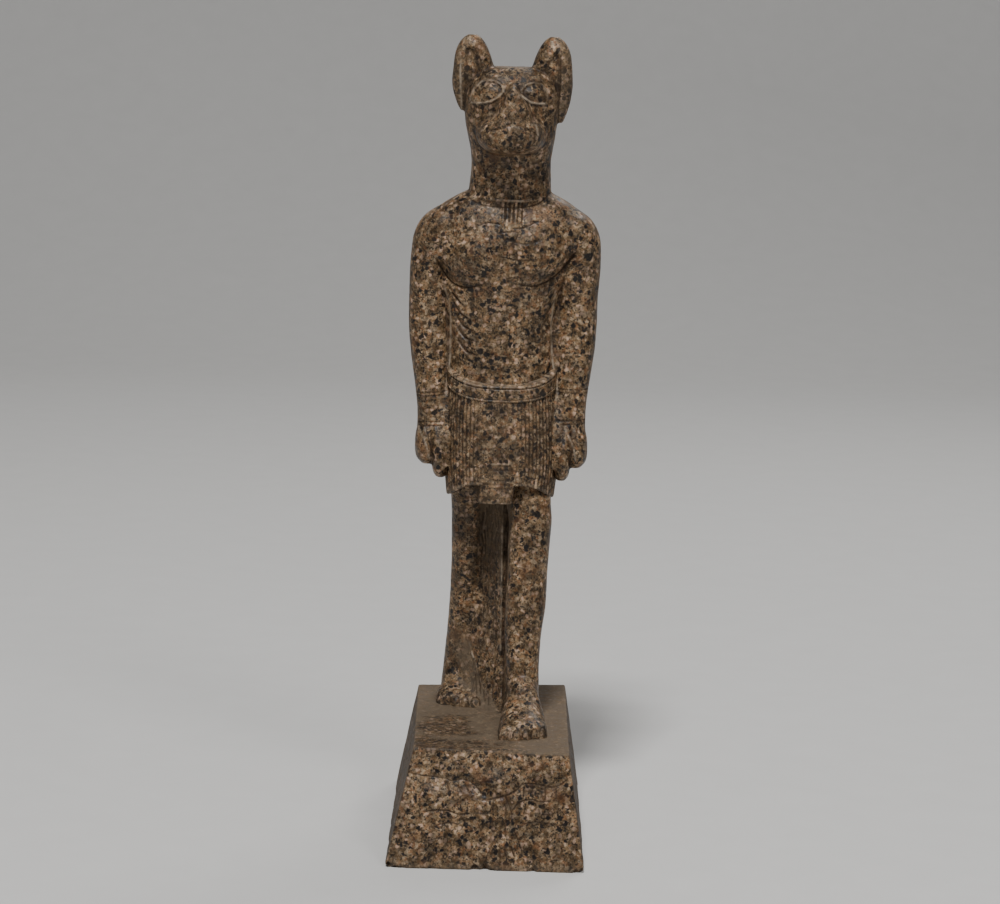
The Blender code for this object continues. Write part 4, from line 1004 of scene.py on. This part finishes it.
def cut_lines_tree(finish):
    """Lines cut into stone: the lines, and the width and depth of the cut."""
    graph, entry = carving_tree("cut_lines", (("Lines", "Object"), ("Width", "Float"), ("Depth", "Float")))
    lines = graph.node("GeometryNodeObjectInfo", {}, {"Object": entry["Lines"]}, "Geometry")
    forward = facing_forward(graph)
    stone = groove_along(graph, entry["Stone"], lines, entry["Width"], entry["Depth"], forward, "cut")
    return end_tree(graph, stone, finish)


def tool_marks_tree(finish):
    """Short upright strokes left by a point chisel, strewn over a part of the stone."""
    graph, entry = carving_tree("tool_marks", (
        ("Strokes", "Int"), ("Low", "Vector"), ("High", "Vector"), ("Length", "Float"), ("Slant", "Float"),
        ("Width", "Float"), ("Depth", "Float"), ("Seed", "Int")))
    place = graph.node("FunctionNodeRandomValue", {"data_type": "FLOAT_VECTOR"},
                       {0: entry["Low"], 1: entry["High"], "Seed": entry["Seed"]}, 0)
    points = graph.node("GeometryNodePoints", {}, {"Count": entry["Strokes"], "Position": place})
    start = graph.node("ShaderNodeCombineXYZ", {}, {"Z": entry["Length"] * -0.5})
    whole = graph.node("ShaderNodeCombineXYZ", {}, {"Z": entry["Length"]})
    stroke = graph.node("GeometryNodeMeshLine", {}, {"Count": 2, "Start Location": start, "Offset": whole})
    angle = graph.node("FunctionNodeRandomValue", {"data_type": "FLOAT"},
                       {2: entry["Slant"] * -1.0, 3: entry["Slant"], "Seed": entry["Seed"] + 1}, 1)
    turn = graph.node("ShaderNodeCombineXYZ", {}, {"Y": angle})
    longer = graph.node("FunctionNodeRandomValue", {"data_type": "FLOAT"},
                        {2: 0.4, 3: 1.5, "Seed": entry["Seed"] + 2}, 1)
    strokes = graph.node("GeometryNodeInstanceOnPoints", {},
                         {"Points": points, "Instance": stroke, "Rotation": turn, "Scale": longer})
    lines = graph.node("GeometryNodeRealizeInstances", {}, {"Geometry": strokes})
    here = graph.held("marked")
    stone = groove_along(graph, entry["Stone"], lines, entry["Width"], entry["Depth"], here, "scratch")
    return end_tree(graph, stone, finish)


def pleats_tree(finish):
    """Pleats round a kilt: rounded ridges with sharp grooves between, by the run along the cloth."""
    graph, entry = carving_tree("pleats", (("Width", "Float"), ("Depth", "Float")))
    run = graph.held("run")
    share = graph.held("pleated")
    wave = graph.node("ShaderNodeMath", {"operation": "SINE"}, {0: run / entry["Width"] * np.pi})
    ridge = graph.node("ShaderNodeMath", {"operation": "ABSOLUTE"}, {0: wave})
    rise = graph.scaled(graph.normal(), (ridge - 0.35) * share * entry["Depth"])
    stone = graph.node("GeometryNodeSetPosition", {}, {"Geometry": entry["Stone"], "Offset": rise})
    # dirt and painted shade: darkest in the grooves between the pleats, and a little over all of the kilt
    pleat_dirt_and_shade = graph.between(ridge, 0.0, 0.65, 0.72, 0.08) * share + 0.14
    return end_tree(graph, graph.keep(stone, "cut", pleat_dirt_and_shade), finish)


def worked(piece, tree, sizes):
    """The piece after a Geometry Nodes tree has gone over it, as plain mesh."""
    modifier = piece.modifiers.new(tree.name, "NODES")
    modifier.node_group = tree
    for socket in tree.interface.items_tree:
        if socket.in_out == "INPUT" and socket.name in sizes:
            modifier[socket.identifier] = sizes[socket.name]
    return applied(piece)


def cut_into(piece, name, lines, unit, cut, finish):
    """Lines cut into a piece, with the cut's width and depth."""
    guide = line_object(name, lines, unit)
    worked(piece, cut_lines_tree(finish), {"Lines": guide, "Width": cut[0], "Depth": cut[1]})
    bpy.data.objects.remove(guide)


def granite():
    """Polished tan granite: feldspar, quartz and dark mica, with dust on rough places, dirt and painted shade
    in cuts, painted shade in hollows, and worn edges with a painted highlight.
    """
    material = bpy.data.materials.new("granite_polished")
    material.use_nodes = True
    graph = Graph(material.node_tree)
    shader = material.node_tree.nodes["Principled BSDF"]
    place = graph.node("ShaderNodeTexCoord", {}, {}, "Object")

    def grains(spread, scale, shift):
        """Irregular grains: the distance from each grain's middle and its random number."""
        warp = graph.noise(place, scale * 1.1, 2.0, "Color")
        offset = graph.scaled(graph.vector("SUBTRACT", warp, (0.5, 0.5, 0.5)), spread)
        moved = graph.vector("ADD", offset, place)
        moved = graph.vector("ADD", moved, (shift, shift * 0.7, -shift))
        cell = graph.node("ShaderNodeTexVoronoi", {}, {"Vector": moved, "Scale": scale}, "Distance")
        pick = graph.node("ShaderNodeSeparateColor", {}, {0: cell.sibling("Color")}, "Red")
        return cell, pick

    def noise(scale, detail):
        return graph.noise(place, scale, detail)

    _, large_pick = grains(0.0022, 640, 0.0)
    colour = graph.node("ShaderNodeValToRGB", {"stops": GRAIN_STOPS}, {0: large_pick}, "Color")
    small, small_pick = grains(0.0010, 1400, 0.31)
    tint = graph.node("ShaderNodeValToRGB", {"stops": SMALL_STOPS}, {0: small_pick}, "Color")
    colour = graph.mixed(0.50, colour, tint)
    mica, mica_pick = grains(0.0040, 350, 0.61)
    crowd = graph.between(noise(150, 2.0), 0.35, 0.65, 0.10, 0.50)
    dark = graph.between(mica, 0.36, 0.58, 1.0, 0.0) * graph.between(crowd - mica_pick, 0.0, 0.03)
    flecks, fleck_pick = grains(0.0018, 820, 1.43)
    dark_fleck = graph.between(flecks, 0.30, 0.54, 1.0, 0.0) * graph.between(fleck_pick, 0.30, 0.34, 1.0, 0.0)
    colour = graph.mixed(dark_fleck * 0.86, colour, FLECK)
    pale, pale_pick = grains(0.0026, 430, 2.11)
    quartz = graph.between(pale, 0.25, 0.60, 1.0, 0.0) * graph.between(pale_pick, 0.77, 0.81)
    colour = graph.mixed(quartz * 0.58, colour, QUARTZ)
    wide_tone = graph.between(noise(62, 3.0), 0.35, 0.66, 0.78, 1.26)
    tone = wide_tone * graph.between(noise(240, 2.0), 0.32, 0.68, 0.54, 1.46)
    grey = graph.node("ShaderNodeCombineColor", {}, {0: tone, 1: tone, 2: tone}, "Color")
    colour = graph.mixed(1.0, colour, grey, "MULTIPLY")
    colour = graph.mixed(dark * 0.93, colour, MICA)
    warm = graph.between(noise(95, 2.0), 0.58, 0.72) * 0.25
    colour = graph.mixed(warm, colour, WARM_STAIN)

    dust, hollow, ridge, cut, scratch = map(graph.kept, ("dust", "hollow", "ridge", "cut", "scratch"))
    patchy = graph.between(noise(420, 3.0), 0.30, 0.62, 0.72, 1.0)
    dusted = dust * patchy
    dusty = graph.mixed(noise(900, 2.0), *DUST)
    colour = graph.mixed(dusted, colour, dusty)
    # painted shade in the hollows
    colour = graph.mixed(hollow * 0.62, colour, HOLLOW_SHADE)
    # dirt and painted shade in cut lines, chisel strokes, pleat grooves and the apron's lines; painted shade
    # over the face, the cheek's hollow and the plinth's sides; the plinth's worn patch darkened for its own
    # colour
    colour = graph.mixed(cut * 0.72 + scratch * 0.30, colour, CUT_DIRT_AND_SHADE)
    # worn pale stone with a painted highlight along edges and rims
    worn = ridge * graph.between(noise(300, 2.0), 0.40, 0.60, 0.25, 0.75)
    colour = graph.mixed(worn, colour, WORN_STONE_AND_HIGHLIGHT)
    graph.feed(shader.inputs["Base Color"], colour)

    dull = graph.between(noise(240, 3.0), 0.30, 0.70, 0.36, 0.60)
    rough = dull + dusted * 0.40 + hollow * 0.20 + cut * 0.30 - quartz * 0.10 - dark * 0.08
    graph.feed(shader.inputs["Roughness"], rough)
    height = noise(560, 3.0) * 0.60 - dark * 0.25 + small * 0.12 + dusted * noise(1500, 2.0) * 0.8
    bump = graph.node("ShaderNodeBump", {}, {"Strength": 0.50, "Distance": 0.0005, "Height": height}, 0)
    graph.feed(shader.inputs["Normal"], bump)
    graph.feed(shader.inputs["Specular IOR Level"], 0.26)
    return material


def figure(finish):
    """Flesh, ears, hands, feet, web and pillar in one rounded surface, with the face and chest cut in."""
    pieces = [level_loft("torso", TORSO), level_loft("head", HEAD, squareness=2.5),
              upright_loft("muzzle", MUZZLE), upright_loft("snout", SNOUT, taper=0.25),
              upright_loft("nose", NOSE, squareness=2.0, taper=0.8),
              level_loft("back_leg", BACK_LEG), level_loft("front_leg", FRONT_LEG),
              upright_loft("front_foot", FRONT_FOOT), upright_loft("back_foot", BACK_FOOT)]
    for side in (-1, 1):
        pieces += [level_loft("shoulder", SHOULDER, side), level_loft("arm", ARM, side),
                   level_loft("arm_web", ARM_WEB, side, squareness=3), level_loft("thumb", THUMB, side),
                   level_loft("hand_edge", HAND_EDGE, side)]
    pieces += [level_loft("ear", ear_rows(LEFT_EAR_LIFT), -1), level_loft("ear", ear_rows(0), 1)]
    for foot in FEET:
        pieces += toe_lofts(*foot)
    pieces += web_and_pillar()
    body = joined("figure", pieces)
    modified(body, "REMESH", mode="VOXEL", voxel_size=STONE_GRID)
    modified(body, "SMOOTH", factor=0.5, iterations=FIGURE_SMOOTHING)
    soften(body, blended, BLEND_ROUNDS)
    carve_front(body, body_relief, UNIT)
    x, y, z = (places_of(body.data) / UNIT).T
    marked = step(x, -13, -9) * step(x, 8, 4) * step(z, 122, 112) * step(y, 3, 9)
    store(body.data, "marked", marked * step(-normals_of(body.data)[:, 1], 0.1, 0.4))
    worked(body, tool_marks_tree(finish), TOOL_MARKS)
    cut_into(body, "fine_lines", upright_lines(FINE_CUTS) + body_cuts(), UNIT, FIGURE_CUT, finish)
    roughen(body, FIGURE_WAVES)

    def dust(points):
        x, y, z = (points / UNIT).T
        web = step(x, -14, -9) * step(x, 8, 4) * step(z, 122, 112) * step(y, 3, 9) * step(y, 44, 36)
        flare_x, flare_z = np.array(FLARE[::-1]).T
        edge = np.interp(z, flare_z, flare_x) + 1.4 * lumps(points, 0.005, 33)
        flare = step(x, edge + 1.6, edge - 0.8) * step(x, edge - 15, edge - 5)
        flare *= step(z, 44, 24) * step(y, 44, 38)
        ear_side = step(np.abs(x), 21, 23.5) * step(z, 302, 306)
        patchy = 0.8 + 0.3 * lumps(points, 0.003, 34)
        # dust over the web, laid thickest on its top as a painted pool of light under the kilt, thin lower
        # down
        dust_and_painted_light = 0.03 + 0.80 * web * step(z, 60, 100) + 0.06 * web + 0.95 * flare * patchy
        return dust_and_painted_light + 0.30 * ear_side + 0.30 * step(z, 7, 1)

    weather(body, dust)
    whiten(body)
    thinned(body, FIGURE_TRIANGLES)
    lean_figure(body)
    return body


def blended(places):
    """Where forms run softly together: shoulders, cheeks, the nose's bridge, the back leg and the toes."""
    x, y, z = places.T
    across = np.abs(x)
    shoulders = step(z, 224, 238) * step(z, 266, 261) * step(across, 12, 18)
    cheeks = step(z, 280, 286) * step(z, 318, 311) * step(y, 17, 13)
    leg = step(x, -22, -18) * step(x, -1, -6) * step(z, 120, 110) * step(z, 2, 8) * step(y, 16, 22)
    bridge = step(z, 315.5, 318) * step(z, 328, 325) * step(across, 9, 6) * step(y, 22, 18)
    toes = 0.10 * step(z, 9, 7) * step(z, -1, 0)
    return np.clip(shoulders + cheeks + bridge + leg + toes, 0, 1)


def whiten(body):
    """Mark the edges that are worn pale and given a painted highlight, and paint shade over the face and into
    the cheek's hollow.
    """
    mesh = body.data
    x, y, z = (places_of(mesh) / UNIT).T
    worn = np.zeros(len(x))
    edges = [(line, 1.0) for line in upright_lines(WORN_EDGES)] + list(zip(EYE_RIMS, RIM_WEAR_AND_HIGHLIGHT))
    for line, wear in edges:
        close = near(line, 2.0, x, z) & (y < 34)
        distance, _ = line_distance(smooth_rows(line, CURVE_STEPS), x[close], z[close])
        worn[close] = np.maximum(worn[close], wear * step(distance, 0.7, 0.2))
    store_highest(mesh, "ridge", worn)
    # painted shade in the cheek's hollow
    store_highest(mesh, "cut", area_relief(CHEEK_HOLLOW, 5.0, 0.45, x, z))
    # painted shade over the face's front
    store_highest(mesh, "cut", 0.20 * step(z, 276, 288) * step(z, 330, 322) * step(y, 26, 18))


def belt_height(along):
    """Height of the belt's lower edge where the ring points this far forward (1) or back (-1)."""
    return BELT_SIDE - BELT_DIP * np.clip(along, 0, 1) ** 1.5 + BELT_BACK_RISE * np.clip(-along, 0, 1) ** 1.5


def kilt_angles():
    """Angles of the kilt's columns, evenly spaced in front, with the run along the cloth at each."""
    _, half_width, front, middle, _ = KILT[1]
    fine = np.linspace(0, np.pi, 800)
    across, along = rounded(fine, KILT_SQUARENESS)
    steps = np.hypot(np.diff(across) * half_width, np.diff(along) * (middle - front)) * UNIT
    length = np.concatenate(((0,), np.cumsum(steps)))
    columns = round(length[-1] / PLEAT_WIDTH) * COLUMNS_PER_PLEAT
    run = np.linspace(0, length[-1], columns + 1)
    back_angles = np.linspace(np.pi, 2 * np.pi, BACK_COLUMNS + 1)[1:-1]
    angles = np.concatenate((np.interp(run, length, fine), back_angles))
    return angles, np.concatenate((run, np.zeros(len(back_angles))))


def kilt(finish):
    """The pleated kilt, its hem drawn up on both sides of the apron."""
    angles, run = kilt_angles()
    across, along = rounded(angles, KILT_SQUARENESS)
    rings = []
    for number, (z, half_width, front, middle, back) in enumerate(KILT):
        depth = depth_from(middle, front, back, along)
        heights = np.full(len(angles), float(z))
        if number == 0:
            heights = belt_height(along) + BELT_HEIGHT / UNIT / 2
        if number == len(KILT) - 1:
            centre = np.clip((1 - np.abs(across)) / (1 - HEM_FLAT), 0, 1)
            heights = z + np.where(along > 0, HEM_RISE * centre * (2 - centre), 0)
        rings.append(np.column_stack((across * half_width, middle - along * depth, heights)).ravel())
    rings = [row.reshape(-1, 3) * UNIT for row in smooth_rows(rings, KILT_STEPS)]
    shown = len(rings)
    middle = np.array((0, KILT[-1][3] * UNIT, 0))
    hem = rings[-1] - middle
    for share, drop in HEM_TURNS:
        rings.append(middle + hem * (share, share, 1) - (0, 0, drop))
    lid = middle + hem * (LID_SHARE, LID_SHARE, 1)
    lid[:, 2] = KILT_LID * UNIT
    rings.append(lid)
    cloth = closed_loft("kilt", rings)
    places = places_of(cloth.data)
    row = np.repeat(np.arange(len(rings)), len(angles))
    row = np.concatenate((row, (0, len(rings))))
    all_run = np.concatenate((np.tile(run, len(rings)), (0, 0)))
    middle_fade = 0.30 + 0.70 * step(np.abs(places[:, 0]) / UNIT, 7, 16)
    shown_pleats = (row < shown) * middle_fade * (all_run > 0) * step(row, shown + 2, shown - 3)
    store(cloth.data, "run", all_run + 0.00022 * lumps(places * (1, 1, 0.25), 0.004, 11))
    store(cloth.data, "pleated", shown_pleats * (0.85 + 0.3 * lumps(places * (1, 1, 0.3), 0.006, 12)))
    worked(cloth, pleats_tree(finish), {"Width": PLEAT_WIDTH, "Depth": PLEAT_DEPTH})
    return aged(cloth, KILT_WAVES, KILT_DUST)


def belt(finish):
    """The belt: a band with a raised border along its upper edge, and two lines at each end of its front."""
    angles = np.arange(BELT_COLUMNS) * 2 * np.pi / BELT_COLUMNS
    across, along = rounded(angles, KILT_SQUARENESS)
    low = belt_height(along) * UNIT
    _, half_width, front, middle, back = KILT[0]
    depth = depth_from(middle, front, back, along)
    rings = []
    for share, proud in smooth_rows(BELT_PROFILE, 3):
        offset = BELT_PROUD * proud
        x = across * half_width * UNIT + np.cos(angles) * offset
        y = (middle - along * depth) * UNIT - np.sin(angles) * offset
        rings.append(np.column_stack((x, y, low + share * BELT_HEIGHT)))
    band = closed_loft("belt", rings)
    cut_into(band, "belt_end_lines", BELT_ENDS, UNIT, BELT_CUT, finish)
    return aged(band, BELT_WAVES, BELT_DUST)


def apron():
    """The kilt's hanging middle panel, with level lines cut across it."""
    table = np.array(APRON, dtype=float)
    rings = []
    for share in np.linspace(0, 1, APRON_ROWS):
        z, x, half_width, front = [np.interp(share * 2, (0, 1, 2), column) for column in table.T]
        cut = sum(np.exp(-((z - line) / 0.38) ** 2) for line in APRON_LINES)
        front = front - APRON_PROUD / UNIT + 0.32 * cut
        rings.append(level_ring(z, x, half_width, front, front + 4, 20, sides=120, squareness=4))
    panel = closed_loft("apron", rings)
    soften(panel, lambda places: np.ones(len(places)), APRON_ROUNDS)
    x, _, z = places_of(panel.data).T / UNIT
    lines = sum(np.exp(-((z - line) / 0.5) ** 2) for line in APRON_LINES)
    middle, half_width = [np.interp(z, table[::-1, 0], column[::-1]) for column in table.T[1:3]]
    sides = step(np.abs(x - middle), half_width - 1.6, half_width - 0.4)
    # dirt and painted shade along the cut lines and the panel's sides, and a little over all of it
    store(panel.data, "cut", np.clip(0.15 + 0.65 * lines + 0.55 * sides, 0, 0.8))
    return aged(panel, APRON_WAVES, APRON_DUST)


def plinth_block():
    """The plinth's closed block, from its eight corners."""
    half_width = PLINTH_WIDTH / 2
    half_depth = PLINTH_DEPTH / 2
    insets = (FRONT_LEFT_INSET, FRONT_RIGHT_INSET, BACK_RIGHT_INSET, BACK_LEFT_INSET)
    foot = []
    top = []
    for (sx, sy), (inset_x, inset_y) in zip(((-1, -1), (1, -1), (1, 1), (-1, 1)), insets):
        foot.append((sx * half_width, sy * half_depth, 0))
        top.append((sx * (half_width - inset_x), sy * (half_depth - inset_y), PLINTH_HEIGHT))
    return closed_loft("plinth", (foot, top))


def plinth(finish):
    """The plinth, with the bird raised on its front and its lower edge chipped."""
    block = plinth_block()
    modified(block, "REMESH", mode="VOXEL", voxel_size=STONE_GRID)
    modified(block, "SMOOTH", factor=0.5, iterations=PLINTH_SMOOTHING)
    carve_front(block, lambda x, z: RELIEF_HEIGHT * wing_relief(x, z), 1.0)
    cut_into(block, "bird_lines", BIRD_CUTS, 1.0, BIRD_CUT, finish)
    mesh = block.data
    places = places_of(mesh)
    around = places * (1, 1, 0)
    reach = 0.0018 + 0.0040 * lumps(around, 0.0075, 21) + 0.0015 * lumps(around, 0.0026, 22)
    reach = np.maximum(reach + 0.0008 * lumps(places, 0.0018, 23), 0.0003)
    half = np.array((PLINTH_WIDTH, PLINTH_DEPTH)) / 2
    inward = half - np.abs(places[:, :2])
    across = np.argmin(inward, axis=1)
    sunk = np.clip(1 - (inward.min(axis=1) + places[:, 2]) / reach, 0, 1) * reach / 2
    rows = np.arange(len(places))
    places[rows, across] -= np.sign(places[rows, across]) * sunk
    places[:, 2] += sunk
    move_places(mesh, places)
    roughen(block, PLINTH_WAVES)

    def top_and_worn(points):
        x, y, z = points.T
        top = step(z, PLINTH_HEIGHT - 0.0016, PLINTH_HEIGHT - 0.0002)
        edge = 0.28 * lumps(points, 0.008, 31) + 0.14 * lumps(points, 0.0028, 32)
        worn = step(np.hypot((x + 0.0215) / 0.0165, (y + 0.0190) / 0.021) + edge, 1.12, 0.72)
        worn = np.maximum(worn, step(y + 0.03 * edge, -0.038, -0.0500) * step(x + 0.02 * edge, 0.026, -0.004))
        return top, worn * top

    def dust(points):
        top, worn = top_and_worn(points)
        low = step(points[:, 2], 0.012, 0.0)
        return 0.95 * top - 0.72 * worn + (1 - top) * (0.08 * low + 0.35 * step(points[:, 2], 0.004, 0.001))

    weather(block, dust)
    top, worn = top_and_worn(places_of(mesh))
    # painted shade: the plinth's sides darkened, as they hold less light than the studio gives them; the worn
    # patch on the top is darkened for its own colour
    side = step(np.abs(normals_of(mesh)[:, 0]), 0.6, 0.9) * (1 - top)
    mottled = 0.65 + 0.35 * lumps(places_of(mesh), 0.0022, 35)
    store_highest(mesh, "cut", 0.90 * worn * mottled + 0.72 * side)
    thinned(block, PLINTH_TRIANGLES)
    return block


def studio_floor():
    """A pale floor that sweeps up into a pale wall behind the statue."""
    bm = bmesh.new()
    profile = [(FLOOR_FRONT, 0), (SWEEP_START, 0)]
    profile += [(SWEEP_START + SWEEP_RADIUS * np.sin(a), SWEEP_RADIUS - SWEEP_RADIUS * np.cos(a))
                for a in np.linspace(0, np.pi / 2, 24)[1:]]
    profile += [(SWEEP_START + SWEEP_RADIUS, WALL_TOP)]
    rows = [[bm.verts.new((x, y, z)) for x in (-FLOOR_HALF_WIDTH, FLOOR_HALF_WIDTH)] for y, z in profile]
    for low, high in zip(rows, rows[1:]):
        bm.faces.new((low[0], low[1], high[1], high[0]))
    floor = mesh_object("studio_floor", bm)
    floor.data.shade_smooth()
    material = bpy.data.materials.new("pale_paper")
    material.use_nodes = True
    graph = Graph(material.node_tree)
    shader = material.node_tree.nodes["Principled BSDF"]
    place = graph.node("ShaderNodeTexCoord", {}, {}, "Object")
    graph.feed(shader.inputs["Base Color"], graph.mixed(graph.noise(place, 40.0, 3.0), *PAPER))
    graph.feed(shader.inputs["Roughness"], 0.8)
    floor.data.materials.append(material)


def soft_box(name, place, target, size, power):
    """A square soft box aimed at a point."""
    data = bpy.data.lights.new(name, "AREA")
    data.size = size
    data.energy = power
    light = linked(name, data)
    light.location = place
    light.rotation_euler = (Vector(target) - Vector(place)).to_track_quat("-Z", "Y").to_euler()


def studio():
    """Floor, soft boxes, pale surroundings and the photograph's camera."""
    studio_floor()
    for row in SOFT_BOXES:
        soft_box(*row)
    world = bpy.data.worlds.new("studio_air")
    world.use_nodes = True
    air = world.node_tree.nodes["Background"]
    air.inputs["Color"].default_value = AIR_COLOUR
    air.inputs["Strength"].default_value = AIR_STRENGTH
    bpy.context.scene.world = world
    camera = bpy.data.cameras.new("camera")
    camera.lens = EYE_LENS
    camera.sensor_width = 36
    eye = linked("camera", camera)
    eye.matrix_world = (Matrix.Translation(EYE_PLACE) @ Matrix.Rotation(radians(90 - EYE_PITCH), 4, "X")
                        @ Matrix.Rotation(radians(EYE_ROLL), 4, "Z"))
    bpy.context.scene.camera = eye


stone = granite()
pieces = [figure(stone), kilt(stone), belt(stone), apron(), plinth(stone)]
for piece in pieces:
    piece.data.materials.clear()
    piece.data.materials.append(stone)
    piece.data.shade_smooth()
    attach(piece, "root")
    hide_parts("bastet_statue")
studio()
